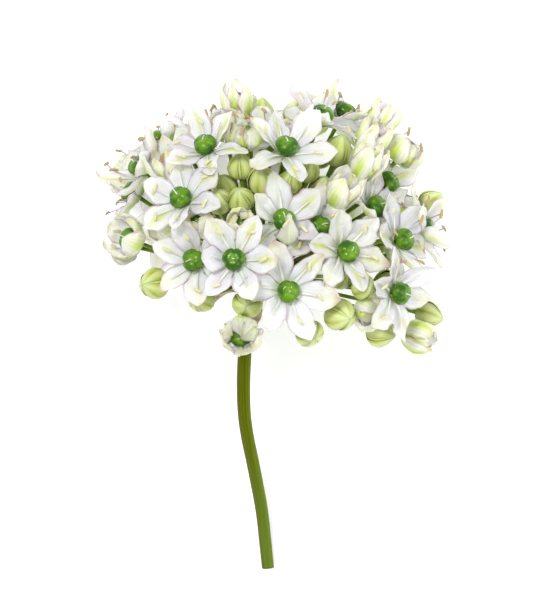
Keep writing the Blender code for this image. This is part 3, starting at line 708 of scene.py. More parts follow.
# %% Width of the tepals
EDGE_STEPS = 10
ROWS = 22
TOWARDS_TIP = 1.35
ROOT_SHARE = -0.06
WIDEST = 0.56
SWELL_POWERS = (0.85, 0.80)
CLAW = 0.32
WEDGE = 0.62
OVERLAP = 0.42
BROAD = 1.26
BROADER = 0.40
UNEVEN_WIDTH = 0.18
INNER_LESS = 0.05
RAGGED = 0.08
RAGGED_WAVES = ((13, 2.2, 7), (23, 1, -9))
INNER = (np.arange(TEPALS) % 2)[:, None, None]


def leaf_section(steps):
    """The share across a leaf and the side it is on, 1 on the face and -1 on the back, for points
    round its section. They lie closer towards the edges, as the sine of an even angle."""
    over = np.sin(np.linspace(-math.pi / 2, math.pi / 2, steps + 1))
    sides = np.concatenate([np.ones(steps + 1), -np.ones(steps - 1)])
    return np.concatenate([over, over[-2:0:-1]]), sides


def past(share, start):
    """The square of how far a share has gone from a start to 1, and 0 before it."""
    return (np.maximum(share - start, 0) / (1 - start)) ** 2


def wave(along, across, chance, numbers):
    """The sine of the sum of the shares along and across and a random number, each times its own
    of three numbers."""
    return np.sin(numbers[0] * along + numbers[1] * across + numbers[2] * chance)


ACROSS, SIDES = leaf_section(EDGE_STEPS)
row_steps = 1 - (1 - np.linspace(0, 1, ROWS + 1)) ** TOWARDS_TIP


def tepal_width(flower, share, along, fuller, ragged):
    """Half the width along the tepals, and how far they have swelled there.

    They swell as a power of a sine to the widest place, and narrow from there as a power of what
    the square of the rest lacks from one. The claw adds some at the foot, where the wedge between
    the neighbours sets a limit.
    """
    youth = youth_of(flower)
    swell = np.sin(math.pi / 2 * (along / WIDEST).clip(0, 1)) ** SWELL_POWERS[0]
    swell = swell * (1 - past(along, WIDEST)) ** SWELL_POWERS[1]
    full = BROAD + UNEVEN_WIDTH * fuller - INNER_LESS * INNER + BROADER * youth * (1 - INNER)
    waves = sum(wave(along, ACROSS, ragged, numbers) for numbers in RAGGED_WAVES)
    full = full + RAGGED * along * waves
    width = flower["half"][:, None, None] * full * (swell + CLAW * (1 - along) ** 3)
    reach = np.maximum(on_curve(flower["curve"], share)[0][..., :1], TEPAL_ROOT)
    return np.minimum(width, (WEDGE + OVERLAP * youth * (1 - INNER)) * reach), swell


print("points on a tepal:", ROWS * len(ACROSS) + 2)

# %% [markdown]
# ## The relief of a tepal
#
# The face is hollowed along its length, creased at the midrib, and its edges ripple. The tips hook
# or sway, and one side may curl up. These are all heights square to the bow, so they are added up.
# The random numbers are drawn once for all six tepals, with a row for each kind of unevenness.

# %% The tepals of a flower
THICKNESS = 0.26 * MM
EDGE_POWER = 0.35
THINNER_TIP = 0.45
WHORL_GAP = (0.10 * MM, 3)
CHANNEL = (0.20 * MM, 1.3 * MM)
CHANNEL_POWER = 1.15
CHANNEL_WIDTH = 2.5 * MM
CREASE = (0.14 * MM, 0.16)
RIPPLE = 0.34 * MM
RIPPLE_WAVE = (11, 2, 5)
CRUMPLE = 0.22 * MM
CRUMPLE_WAVES = ((6, 4, 9), (17, -3, 5))
PLEAT = 0.07 * MM
PLEATS = 9
WAVE = 0.42 * MM
TIP_WAVE = (7, 0, 9)
CURL = 1.0 * MM
SWAY = 1.2 * MM
TWIST = 0.55
HOOK = (1.6 * MM, 0.72)
HOOK_SPREAD = 0.7
CLOSING = (12.8 * MM, 0.4)
CLOSING_SPREAD = 0.35
FLARE = (3.2 * MM, 0.25)
FLARE_SPREAD = 0.4
YOUNG_LESS = {"regrown": 0.7, "channel": 0.75, "twist": 0.8, "sway": 0.6}
CLEAR = 0.06 * MM
LONGER = 0.10
FULL_LENGTH = 10.2 * MM
REGROWN = 0.5


def bell(values, width):
    """A bell: e to the power of minus the square of the values over the width."""
    return np.exp(-((values / width) ** 2))


def tepal_skins(flower):
    """The six tepals of a flower.

    The height is a hollow that is deepest on the midrib, with a narrow crease there, plus ripples
    that grow towards the edges, bends at the tip, which grow with the square of the way from their
    start, and half the thickness, up on the face and down on the back. A twist turns the width.
    """
    chance = draw.uniform(-1, 1, (8, TEPALS, 1, 1))
    twist, sway, hook, phase, fuller, hollow, curl, ragged = chance
    youth = youth_of(flower)
    less = {key: 1 - size * youth for key, size in YOUNG_LESS.items()}
    short = np.maximum(1 - flower["length"] / FULL_LENGTH, 0)[:, None]
    last = 1 + REGROWN * less["regrown"] * short + LONGER * (1 - youth) * (1 + sway[:, :, 0]) / 2
    last = last * flower["trim"]
    share = ROOT_SHARE + (last - ROOT_SHARE) * row_steps[:-1]
    along = (share / last)[:, :, None].clip(0, 1)
    width, swell = tepal_width(flower, share, along, fuller, ragged)
    gap = WHORL_GAP[0] * (1 + WHORL_GAP[1] * youth) * (2 * INNER - 1)
    closing = CLOSING[0] * youth * (1 - youth) * (1 + CLOSING_SPREAD * curl) + flower["tuck"]
    flare = FLARE[0] * opening_of(flower) * (1 + FLARE_SPREAD * fuller)
    hook = HOOK[0] * (1 - HOOK_SPREAD + HOOK_SPREAD * hook)

    def bend(along):
        """What a tepal's whole width shares: its gap, a slow wave, the hook, closing and flare."""
        bends = ((hook, HOOK[1]), (closing, CLOSING[1]), (-flare, FLARE[1]))
        slow = WAVE * along**2 * wave(along, 0, fuller, TIP_WAVE)
        return gap + slow + sum(size * past(along, start) for size, start in bends)

    deep = CHANNEL[0] + (CHANNEL[1] - CHANNEL[0]) * (hollow + 1) / 2
    deep = deep * flower["half"][:, None, None] / CHANNEL_WIDTH * less["channel"]
    trough = deep * (1 - abs(ACROSS) ** CHANNEL_POWER) + CREASE[0] * bell(ACROSS, CREASE[1])
    curled = np.maximum(ACROSS * np.sign(curl), 0) ** 3 * np.sin(math.pi * along) ** 2
    crumple = wave(along, ACROSS, phase, CRUMPLE_WAVES[0])
    crumple = crumple * wave(along, ACROSS, ragged, CRUMPLE_WAVES[1])
    half_thick = THICKNESS / 2 * (1 - ACROSS**2) ** EDGE_POWER * (1 - THINNER_TIP * along**2)
    turned = TWIST * less["twist"] * twist * along
    sway = SWAY * less["sway"] * sway
    height = (
        bend(along)
        - trough * np.sqrt(swell)
        + RIPPLE * ACROSS**2 * wave(along, ACROSS, phase, RIPPLE_WAVE)
        + CURL * abs(curl) * curled
        + CRUMPLE * along * crumple
        + PLEAT * np.cos(PLEATS * ACROSS + 2 * phase) * swell
        + width * ACROSS * np.sin(turned)
        + half_thick * SIDES
    )
    sideways = width * ACROSS * np.cos(turned) + sway * along**2
    rings = on_tepals(flower, share, sideways, height)
    tips = on_tepals(flower, last, sway[:, :, 0:1], bend(1.0))[:, 0, 0]
    rings[..., 2] = np.maximum(rings[..., 2], CLEAR)
    tips[:, 2] = np.maximum(tips[:, 2], CLEAR)
    tint = draw.uniform(0, 1, TEPALS)
    return skins(rings, end=tips, tint=tint, along=row_steps[:-1])


print("channel of a tepal, mm:", *np.divide(CHANNEL, MM).round(2))

# %% [markdown]
# ## Stamens
#
# A stamen stands on the foot of each tepal: a flat white filament, broad below and drawn to a thread,
# and a pale yellow anther that is hung by its middle, so anthers lie every way. The filament is a
# flattened tube that lies close over its tepal and rises to the point where the solid has its stamen.
# The anther is a ring carried along a line, with a groove down its length. Where the solid has no
# stamen for want of room, one lies close over its tepal. The oldest anthers have fallen off.

# %% Shape of the stamens
FILAMENT_ROOT = 0.05
FILAMENT_LIFT = 0.12 * MM
FILAMENT_WIDTH = (0.72 * MM, 0.14 * MM)
FILAMENT_TAPER = 0.45
FILAMENT_STEPS = np.linspace(0, 1, 11)
FILAMENT_AROUND = 8
FLATNESS = (0.20, 0.90)
LOW_STAMEN = (0.60, 0.8 * MM)
LIFT_SHARE = 0.62
ANTHER_AROUND = 12
ANTHER_LENGTH = (1.7 * MM, 2.8 * MM)
ANTHER_RADIUS = 0.36 * MM
BLUNT = 0.45
ANTHER_YAW = 1.0
ANTHER_NOD = 0.35
ANTHER_BOW = 0.16
ANTHER_WIDTHS = (1.15, 0.9)
GROOVES = ((0.50, -math.pi / 4), (0.25, math.pi / 4))
GROOVE_WIDTH = 0.24
CROSSWISE_SHARE = 0.2
FALLEN_SHARE = 0.26
TURNS = np.linspace(0, math.pi, 11)[1:-1]
ON_MIDDLE = np.zeros((TEPALS, 1, 1))


def stamen_places(flower, raised):
    """Share of the tepal's length and height over it for each stamen's end."""
    share, lift = flower["stamen"].T
    missing = lift == 0
    share = np.where(missing, LOW_STAMEN[0], share)
    return share, LIFT_SHARE * np.where(missing, LOW_STAMEN[1], lift) + raised


def filament_skins(flower, share, lift, tint):
    """Flat tubes that start at the ovary's foot, follow the tepals' bows and end round. Their height
    over the bow grows with the square of the way along them, and their width falls fast at first."""
    at = FILAMENT_ROOT + (share[:, None] - FILAMENT_ROOT) * FILAMENT_STEPS
    height = FILAMENT_LIFT + (lift[:, None] - FILAMENT_LIFT) * FILAMENT_STEPS**2
    path = on_tepals(flower, at, ON_MIDDLE, height[..., None])[:, :, 0]
    way = unit(np.gradient(path, axis=1))
    wide, fine = FILAMENT_WIDTH
    radii = wide + (fine - wide) * FILAMENT_STEPS**FILAMENT_TAPER
    flatness = FLATNESS[0] + (FLATNESS[1] - FLATNESS[0]) * FILAMENT_STEPS
    across = flower["side"][:, None]
    rings = tube(path, way, across, radii, FILAMENT_AROUND, flatness[:, None, None])
    return skins(rings, tint=tint, paint=1)


def anther_skins(ends, ways, normals, tint):
    """Grooved pods. Along the pod, its radius is a root of the sine of the angle from end to end.
    Around it, the radius is less by a narrow bell on each of two sides, the grooves."""
    count = len(ends)
    yaw = ANTHER_YAW * draw.uniform(-1, 1, count)
    yaw = yaw + (draw.random(count) < CROSSWISE_SHARE) * math.pi / 2
    nod = draw.uniform(-ANTHER_NOD, ANTHER_NOD, count)[:, None]
    heading = unit(spokes(yaw, ways, np.cross(normals, ways)) + nod * normals)
    half = draw.uniform(*ANTHER_LENGTH, count)[:, None, None] / 2
    along = -np.cos(TURNS)[None, :, None]
    bow = ANTHER_BOW * half * (1 - along**2)
    path = ends[:, None] + along * half * heading[:, None] + bow * normals[:, None]
    angles = full_turn(ANTHER_AROUND)
    grooves = sum(cut * bell(np.sin(angles / 2 + turn), GROOVE_WIDTH) for cut, turn in GROOVES)
    first = ANTHER_WIDTHS[0] * unit(np.cross(normals, heading))[:, None, None]
    bulge = spokes(angles, first, ANTHER_WIDTHS[1] * normals[:, None, None])
    reach = ANTHER_RADIUS * np.sin(TURNS)[None, :, None, None] ** BLUNT
    rings = path[:, :, None] + reach * (1 - grooves)[:, None] * bulge
    tips = half[:, 0] * heading
    kept = tint > FALLEN_SHARE
    return skins(rings[kept], (ends - tips)[kept], (ends + tips)[kept], tint[kept])


print("points on an anther:", ANTHER_AROUND * len(TURNS) + 2)

# %% [markdown]
# ## Finishes of the stamens
#
# The filaments are a waxy white, a little green at the foot and lilac towards the end of some. The
# anthers are pale yellow with a grain of pollen, and the older ones have turned tan, so their colour
# follows the tint that each was given.

# %% Filament and anther
FILAMENT_WHITE = (0.69, 0.70, 0.72, 1)
FILAMENT_FOOT = (0.55, 0.68, 0.36, 1)
POLLEN = (0.70, 0.66, 0.36, 1)
POLLEN_PALE = (0.74, 0.72, 0.50, 1)
OLD_ANTHER = (0.50, 0.38, 0.18, 1)
WAX_DEPTH = 0.02 * MM
POLLEN_DEPTH = 0.05 * MM


def filament_white():
    """White, fading from green at the foot to lilac, with creamy blotches."""
    glow = {"Subsurface_Weight": 0.2, "Subsurface_Scale": 0.8 * MM}
    material, tree = shader("filament white", Roughness=0.45, **glow)
    leaf = marks_of(tree)
    cloud = speckle(tree, 900)
    end = times(fade(leaf["Along"], 0.35, 0.9), maths("MULTIPLY_ADD", leaf["Tint"], 0.6, 0.3))
    ground = layered(
        FILAMENT_FOOT,
        (fade(leaf["Along"], 0.0, 0.3), FILAMENT_WHITE),
        (times(cloud, 0.2), CREAM),
        (end, LILAC),
    )
    return dress(material, ground, cloud, WAX_DEPTH)


def pollen_yellow():
    """Two yellows in blotches, over to tan for the old ones, and a fine grain."""
    material, tree = shader("pollen yellow", Roughness=0.75)
    old = fade(marks_of(tree)["Tint"], 0.84, 0.96)
    ground = layered(POLLEN, (speckle(tree, 1400), POLLEN_PALE), (old, OLD_ANTHER))
    return dress(material, ground, speckle(tree, 9000), POLLEN_DEPTH)


filament_paint = filament_white()
anther_paint = pollen_yellow()
print("made", filament_paint.name, "and", anther_paint.name)

# %% [markdown]
# ## Open flowers, goblets and cups
#
# Each perianth becomes one mesh of six tepals and six filaments. In a cup, which has only begun to
# open, the tepals close over the stamens, so those are left off, unless the cup flares enough to
# make room. Some stamens stand up round the ovary, and in the young flowers at the crown they peek
# out over the rim. The anthers of all flowers go into one mesh, and each pod has few faces.
#
# Some tepals of an open flower stand up from the rest. One low flower has a tepal folded over its
# ovary, and where two flowers would cut through each other, tepals are trimmed or tucked in.

# %% Make the flowers
ROOM_FOR_ANTHER = 2.6 * MM
ROOM_GAINED = 1.0 * MM
LOW = 9 * MM
RAISED = 0.5 * MM
UPRIGHT = (1.04 * MM, 2.6 * MM)
UPRIGHT_TINT = 1.0
LYING_TINTS = 0.8
UPRIGHT_SHARE = 0.6
SIDEWAYS = 0.55
STAND = 3.2 * MM
STRONG_STAND = 4.5 * MM
STRONG_SHARE = 0.15
STAND_WAY = np.array([-0.3, 1.0])
HALF_OPEN = 0.3
PEEKING = (1.10, 0.7 * MM)
CROWN = 25 * MM
CEILING = solid_box[1].z + 0.5 * MM
FOLDED = "perianth_25"
FOLD_CURVE = np.array([[0, 0], [-15.2, 5.2], [15.2, 0.3], [1.3, 0]]) * MM
FOLDED_STAMEN = (0.95, 0.6 * MM)
TRIMMED = {"perianth_08": 0.81, "perianth_21": 0.80, "perianth_36": 0.97}
TUCKED = {"perianth_07": -1.6 * MM, "perianth_08": 0.7 * MM}


def stand_up(flower):
    """Raises some tepals of an open flower: the square of the share gets a larger factor in the
    bow's rise and a smaller one in its distance. None goes above the solids' box."""
    stand = STAND * draw.random(TEPALS) ** 2
    stand = stand + STRONG_STAND * (draw.random(TEPALS) < STRONG_SHARE)
    tips = flower["curve"].sum(axis=1)
    top = flower["base"][2] + tips[:, 0] * flower["out"][:, 2] + tips[:, 1] * flower["facing"][2]
    stand = np.minimum(stand, np.maximum(CEILING - top, 0) / flower["facing"][2])
    flower["curve"][:, 1] += stand[:, None] * STAND_WAY


def fold_up(flower):
    """Bends the lowest tepal in the picture over the ovary, and its stamen with it."""
    folded = flower["out"][:, 1].argmin()
    flower["curve"][folded] = FOLD_CURVE
    flower["stamen"][folded] = FOLDED_STAMEN


pods = []
for number, (node, flower) in enumerate(flowers.items(), 1):
    young = youth_of(flower) > HALF_OPEN
    if flower["facing"][2] > 0 and not young:
        stand_up(flower)
    flower["trim"] = TRIMMED.get(node, 1.0)
    flower["tuck"] = TUCKED.get(node, 0.0)
    if node == FOLDED:
        fold_up(flower)
    parts = [tepal_skins(flower)]
    lifted = RAISED * draw.random(TEPALS) if flower["base"][2] > LOW else np.zeros(TEPALS)
    upright = draw.random(TEPALS) < UPRIGHT_SHARE * (abs(flower["facing"][2]) < SIDEWAYS)
    lifted = lifted + upright * draw.uniform(*UPRIGHT, TEPALS)
    reach = on_curve(flower["curve"], np.array([LOW_STAMEN[0]]))[0][:, 0, 0]
    if (reach > ROOM_FOR_ANTHER - ROOM_GAINED * opening_of(flower)).all():
        share, lift = stamen_places(flower, lifted)
        if young and flower["base"][1] > CROWN:
            share, lift = np.where(upright, np.array(PEEKING)[:, None], (share, lift))
        parts.append(filament_skins(flower, share, lift, UPRIGHT_TINT * upright))
        ends = on_tepals(flower, share[:, None], ON_MIDDLE, lift[:, None, None])[:, 0, 0]
        out, rise = on_curve(flower["curve"], share[:, None])[1][:, 0].T[..., None]
        ways = out * flower["out"] + rise * flower["facing"]
        normals = out * flower["facing"] - rise * flower["out"]
        tint = np.where(upright, UPRIGHT_TINT, LYING_TINTS * draw.random(TEPALS))
        pods.append(anther_skins(ends, ways, normals, tint))
    paints = [young_cream if young else open_white, filament_paint]
    piece(f"flower_{number:02d}", parts, paints, node)
piece("anthers", pods, [anther_paint], "perianth_01")
print("flowers with anthers:", len(pods))

# %% [markdown]
# ## Ovaries and their styles
#
# The ovary is the glossy green ball in the middle of a flower. It is three chambers grown together,
# so it has three broad lobes with a seam between each two, and a dimple on top, where the short white
# style stands. A sphere could be sculpted, but a formula makes all of them the same way.

# %% Shape of ovary and style
OVARY_RADIUS = 2.80 * MM
OVARY_MIDDLE = 2.55 * MM
OVARY_HALF_HEIGHT = 1.95 * MM
OVARY_TURNS = np.linspace(0, math.pi, 20)[1:-1]
OVARY_AROUND = 36
OVARY_POWER = 0.85
SEAM = 0.17
SEAM_DROP = 0.20 * MM
DIMPLE = (0.55 * MM, 0.75 * MM)
OVARY_TOP = OVARY_MIDDLE + OVARY_HALF_HEIGHT - DIMPLE[0]
STYLE_LENGTH = (1.3 * MM, 2.4 * MM)
STYLE_RADIUS = 0.21 * MM
STYLE_TAPER = 0.45
STYLE_STEPS = np.linspace(0, 1, 7)
STYLE_AROUND = 8
STYLE_SUNK = 0.2 * MM
STYLE_TILT = (0.15, 0.7)
STYLE_ROOM = 7 * MM
LEAST_HEIGHT = 0.4 * MM

firsts = np.array([unit(flower["out"][0] + flower["out"][1]) for flower in flowers.values()])


def ovary_skins():
    """Lobed balls, by the angle from the bottom and the angle around.

    The radius is a power of the sine of the first angle. It is less at three seams, by the cube of
    what one and a half times the second angle's cosine lacks from one. The top is lowered by
    a bell, the dimple, and along the seams.
    """
    around = full_turn(OVARY_AROUND)
    seam = (1 - abs(np.cos(1.5 * around))) ** 3
    cosine = np.cos(OVARY_TURNS)[:, None]
    upper = np.maximum(-cosine, 0)
    radius = OVARY_RADIUS * np.sin(OVARY_TURNS)[:, None] ** OVARY_POWER * (1 - SEAM * seam)
    rise = OVARY_MIDDLE - OVARY_HALF_HEIGHT * cosine - SEAM_DROP * seam * upper
    rise = rise - DIMPLE[0] * bell(radius, DIMPLE[1]) * (upper > 0)
    flat = spokes(around, firsts[:, None, None], np.cross(facings, firsts)[:, None, None])
    rings = bases[:, None, None] + radius[..., None] * flat
    rings = rings + rise[..., None] * facings[:, None, None]
    low = bases + (OVARY_MIDDLE - OVARY_HALF_HEIGHT) * facings
    return skins(rings, low, bases + OVARY_TOP * facings, draw.random(len(bases)))


def style_skins():
    """Thin tapering tubes that lean out of the dimples, where there is room above the table."""
    free = (bases + STYLE_ROOM * facings)[:, 2] > LEAST_HEIGHT
    base, facing, first = bases[free], facings[free], firsts[free]
    count = len(base)
    lean = spokes(draw.uniform(0, 2 * math.pi, count), first, np.cross(facing, first))
    length = draw.uniform(*STYLE_LENGTH, count)[:, None]
    tilt = draw.uniform(*STYLE_TILT, count)[:, None]
    foot = base + (OVARY_TOP - STYLE_SUNK) * facing
    end = foot + length * unit(facing + tilt * lean)
    knots = np.stack([foot, foot + length / 2 * facing, end], axis=1)
    path, way = bezier(knots, STYLE_STEPS)
    radii = STYLE_RADIUS * (1 - STYLE_TAPER * STYLE_STEPS)
    return skins(tube(path, way, lean[:, None], radii, STYLE_AROUND))


print("height of an ovary, mm:", 2 * OVARY_HALF_HEIGHT / MM)

# %% [markdown]
# ## Pedicels and the receptacle
#
# A pedicel is the stalk of one flower. It leaves the receptacle straight outwards and meets its
# flower along the flower's axis, which a Bezier path with four knots does. The stalks widen a
# little where they meet their flower. The receptacle is a bumpy knob, because each stalk swells
# where it leaves it.

# %% Shape of the stalks and the knob
STALK_RADIUS = (0.42 * MM, 0.50 * MM)
STALK_HEAD = 0.62 * MM
HEAD_FROM = 0.9
HANDLE = 0.3
STALK_STEPS = np.linspace(0.03, 1, 18)
STALK_AROUND = 10
NECK = 0.8 * MM
SLANT = (0.31, 0.17, 0.93)
KNOB_RADIUS = 3.5 * MM
KNOB_DEPTH = 2.7 * MM
KNOB_BUMP = 0.25 * MM
KNOB_TURNS = np.linspace(0, math.pi, 26)[1:-1, None]
KNOB_AROUND = 48
UP = (0.0, 0.0, 1.0)


def stalk_skins(bases, facings):
    """Tubes from the receptacle. The first handle lies on the straight line to the base, the last
    one on the flower's axis. The radius grows evenly, and faster in the last tenth."""
    reach = bases - receptacle
    handle = HANDLE * np.linalg.norm(reach, axis=1, keepdims=True) * facings
    start = np.broadcast_to(receptacle, bases.shape)
    ends = [start, start + HANDLE * reach, bases - handle, bases + NECK * facings]
    path, way = bezier(np.stack(ends, axis=1), STALK_STEPS)
    thin, thick = STALK_RADIUS
    widening = np.maximum(STALK_STEPS - HEAD_FROM, 0) / (1 - HEAD_FROM)
    radii = thin + (thick - thin) * STALK_STEPS + (STALK_HEAD - thick) * widening
    rings = tube(path, way, np.cross(reach, SLANT)[:, None], radii, STALK_AROUND)
    return skins(rings, tint=draw.random(len(bases)), along=STALK_STEPS)


def knob_skin(axis):
    """A flattened ball with bumps: the product of two waves, one around and one up it."""
    around = full_turn(KNOB_AROUND)
    bump = KNOB_BUMP * np.sin(9 * around + 3 * KNOB_TURNS) * np.sin(8 * KNOB_TURNS)
    radius = (KNOB_RADIUS + bump) * np.sin(KNOB_TURNS)
    first = unit(np.cross(axis, UP))
    flat = radius[..., None] * spokes(around, first, np.cross(axis, first))
    rings = receptacle + flat - KNOB_DEPTH * np.cos(KNOB_TURNS)[..., None] * axis
    start, end = (receptacle + side * KNOB_DEPTH * axis for side in (-1, 1))
    return skins(rings[None], start[None], end[None], 0.5, 1)


print("widest stalk, mm:", 2 * STALK_HEAD / MM)

# %% [markdown]
# ## Closed buds
#
# A closed bud is six tepals folded edge to edge into an egg with a blunt point. The outer three
# show most of themselves, and the inner three show as narrow panels between them. Each is puffed
# up along its middle and its edges dip into seams, so each is its own skin, bent over one round
# profile, and a core keeps the seams from showing light. The core is painted dark green, a painted
# shade inside the seams. No two bulge alike, and they lean a little, except near the table.

# %% Shape of the buds
BUD_ROWS = 20
BUD_STEPS = 1 - (1 - np.linspace(0, 1, BUD_ROWS + 2)[1:-1]) ** 1.4
BUD_EDGE_STEPS = 8
BUD_HALF_ANGLES = (0.94, 0.40)
BUD_POWERS = (0.85, 0.75)
PUFF = 0.27 * MM
PUFF_POWER = 1.8
OUTER_LIFT = 0.14 * MM
UNEVEN = 0.13 * MM
LEAN = 0.55 * MM
SWIRL = 0.25
BUD_SKIN = 0.30 * MM
BUD_KEEL = 0.05
CORE_SHARE = 0.90
CORE_AROUND = 16
BUD_TINTS = 0.45
INNER_TINT = 0.5
bud_across, bud_sides = leaf_section(BUD_EDGE_STEPS)


def in_buds(radius, angle, lean):
    """Rings in the buds: a radius at an angle round the axis, the share of the length along it, and
    the lean times the square of the share, times the bud's size."""
    first, second, facing, base, bent = (
        values[:, None, None, None] for values in (bud_first, bud_second, bud_facing, bud_base, lean)
    )
    share = BUD_STEPS[:, None, None]
    local = radius[..., None] * spokes(angle, first, second) + BUD_LENGTH * share * facing
    rings = base + bud_size[:, None, None, None, None] * (local + bent * share**2)
    return rings.reshape(-1, *rings.shape[2:])


def bud_skins():
    """Six tepals and a core for every bud.

    The profile is a power of the sine of a power of the share, fullest a little below the middle.
    A point of a tepal lies at an angle round the bud's axis, and at the profile's radius, plus the
    lift of the outer three and half the thickness, less a power of the distance from the midrib,
    which makes the seams. All these fade with the profile, so they meet in the tip.
    """
    count = len(bud_size)
    spread = np.where(INNER, BUD_HALF_ANGLES[1], BUD_HALF_ANGLES[0])
    share = BUD_STEPS[:, None]
    swirl = draw.uniform(-SWIRL, SWIRL, (count, 1, 1, 1))
    angle = full_turn(TEPALS)[:, None, None] + spread * bud_across + swirl * share
    puff = OUTER_LIFT * (1 - INNER) - PUFF * abs(bud_across) ** PUFF_POWER
    puff = puff + UNEVEN * draw.uniform(-1, 1, (count, TEPALS, 1, 1))
    puff = puff - BUD_SKIN / 2 * np.sqrt(1 - bud_across**2) * bud_sides
    profile = BUD_RADIUS * np.sin(math.pi * share ** BUD_POWERS[0]) ** BUD_POWERS[1]
    radius = profile * (1 + BUD_KEEL * (1 - 2 * INNER)) + puff * profile / BUD_RADIUS
    free = (bud_base[:, 2] > LOW)[:, None]
    lean = free * LEAN * draw.uniform(-1, 1, (count, 2))
    lean = lean[:, :1] * bud_first + lean[:, 1:] * bud_second
    tips = bud_base + bud_size[:, None] * (BUD_LENGTH * bud_facing + lean)
    tips = np.repeat(tips, TEPALS, axis=0)
    tint = (BUD_TINTS * draw.random(count)[:, None] + INNER_TINT * INNER[:, 0, 0]).ravel()
    core = in_buds(CORE_SHARE * profile, full_turn(CORE_AROUND), lean)
    return [
        skins(in_buds(radius, angle, lean), end=tips, tint=tint, along=BUD_STEPS),
        skins(core, paint=1, along=BUD_STEPS),
    ]


print("points on a bud:", TEPALS * (len(BUD_STEPS) * len(bud_across) + 2))

# %% [markdown]
# ## Greens
#
# The green parts share one way of painting: two greens in blotches, others that come with the place
# along the piece, and a bump. The ovary is the deepest green and the shiniest. The stalks go from a
# clear green at the flower to an olive brown at the receptacle, a painted shade deep in the head. On
# a bud, each tepal has a yellow-green middle with a fine dark keel, whitish margins and tip, and
# painted shade along its seams.

# %% Green finishes
OVARY_GREEN = (0.030, 0.110, 0.0, 1)
OVARY_LIGHT = (0.115, 0.250, 0.004, 1)
OVARY_CREST = (0.17, 0.34, 0.02, 1)
STALK_GREEN = (0.14, 0.21, 0.025, 1)
STALK_PALE = (0.26, 0.35, 0.06, 1)
STALK_SHADE_BROWN = (0.10, 0.095, 0.02, 1)
BUD_GREEN = (0.42, 0.48, 0.05, 1)
BUD_DEEP = (0.22, 0.29, 0.025, 1)
BUD_WHITE = (0.64, 0.67, 0.36, 1)
DARK_KEEL_AND_SEAM_SHADE = (0.13, 0.18, 0.02, 1)
KNOB_GREEN = (0.20, 0.26, 0.05, 1)
SMOOTH_DEPTH = 0.02 * MM
FINE_DEPTH = 0.03 * MM
ROUGH_DEPTH = 0.04 * MM


def ovary_green():
    """Deep green, lighter in blotches and on the crest."""
    material, tree = shader("ovary green", Roughness=0.22, Specular_IOR_Level=0.45)
    crest = fade(marks_of(tree)["Along"], 0.80, 0.99, 0.0, 0.75)
    light = speckle(tree, 320, 0.38, 0.62)
    ground = layered(OVARY_GREEN, (light, OVARY_LIGHT), (crest, OVARY_CREST))
    return dress(material, ground, speckle(tree, 2600), SMOOTH_DEPTH)


def stalk_green():
    """Painted shade of olive brown at the receptacle, green towards the flower, with fine blotches.
    """
    material, tree = shader("stalk green", Roughness=0.45, Specular_IOR_Level=0.25)
    leaf = marks_of(tree)
    # Painted shade: the stalks darken to olive brown towards the receptacle, deep in the head.
    brown = fade(maths("MULTIPLY_ADD", leaf["Tint"], 0.25, leaf["Along"]), 0.25, 1.05, 0.85, 0.0)
    ground = layered(STALK_GREEN, (speckle(tree, 350), STALK_PALE), (brown, STALK_SHADE_BROWN))
    return dress(material, ground, speckle(tree, 3000), FINE_DEPTH)


def bud_green():
    """Green on the midrib, white margins, a fine keel, paler inner tepals, and painted shade along
    the seams.
    """
    glow = {"Subsurface_Weight": 0.15, "Subsurface_Scale": 1.0 * MM}
    material, tree = shader("bud green", Roughness=0.42, Specular_IOR_Level=0.3, **glow)
    across, along, _, midrib, veins, tint, streaks = marks_of(tree, veins=4.5)
    age = maths("FRACT", times(tint, 2.0))
    young = fade(age, 0.0, 0.45, 0.45, 0.0)
    cloud = maths("MULTIPLY_ADD", speckle(tree, 500), 0.30, young)
    uneven = maths("MULTIPLY_ADD", tint, 0.25, across)
    panel = times(fade(uneven, 0.10, 0.45, 0.1, 0.95), fade(across, 0.60, 0.92, 1.0, 0.1))
    keel = times(fade(across, 0.02, 0.14, 0.35, 0.0), fade(tint, 0.46, 0.50, 1.0, 0.0))
    pale = fade(maths("MULTIPLY_ADD", age, 0.10, tint), 0.48, 0.56, 0.0, 0.6)
    ground = layered(
        BUD_GREEN,
        (cloud, BUD_DEEP),
        (times(panel, fade(age, 0.1, 0.8, 0.5, 1.1)), BUD_WHITE),
        (times(keel, fade(along, 0.6, 0.9, 1.0, 0.2)), DARK_KEEL_AND_SEAM_SHADE),
        (maths("MAXIMUM", pale, times(streaks, 0.4)), BUD_WHITE),
        (fade(along, 0.72, 0.97, 0.0, 0.55), BUD_WHITE),
        # Painted shade: a dark line along the seams between the tepals.
        (times(fade(across, 0.94, 1.0), fade(along, 0.7, 0.95, 0.7, 0.3)), DARK_KEEL_AND_SEAM_SHADE),
        (fade(along, 0.0, 0.35, 0.8, 0.0), BUD_DEEP),
    )
    return dress(material, ground, maths("MULTIPLY_ADD", veins, 0.3, midrib), FINE_DEPTH)


def plain_green(name, first, second):
    """Two colours in blotches with a fine bump."""
    material, tree = shader(name, Roughness=0.6)
    ground = layered(first, (speckle(tree, 600), second))
    return dress(material, ground, speckle(tree, 4000), ROUGH_DEPTH)


# The core is painted dark green, as the shade inside the bud's seams.
seam_shade_paint = plain_green("bud core seam shade", DARK_KEEL_AND_SEAM_SHADE, BUD_DEEP)
# The knob is blotched with the painted shade brown of the stalks' inner ends.
knob_paint = plain_green("knob green", KNOB_GREEN, STALK_SHADE_BROWN)
print("made", seam_shade_paint.name, "and", knob_paint.name)

# %% [markdown]
# ## The umbel
#
# All green parts above the stem grew as one, and they replace one solid. They are kept as four
# meshes, so none has too many faces: the stalks with the receptacle, the ovaries, the styles and
# the buds.

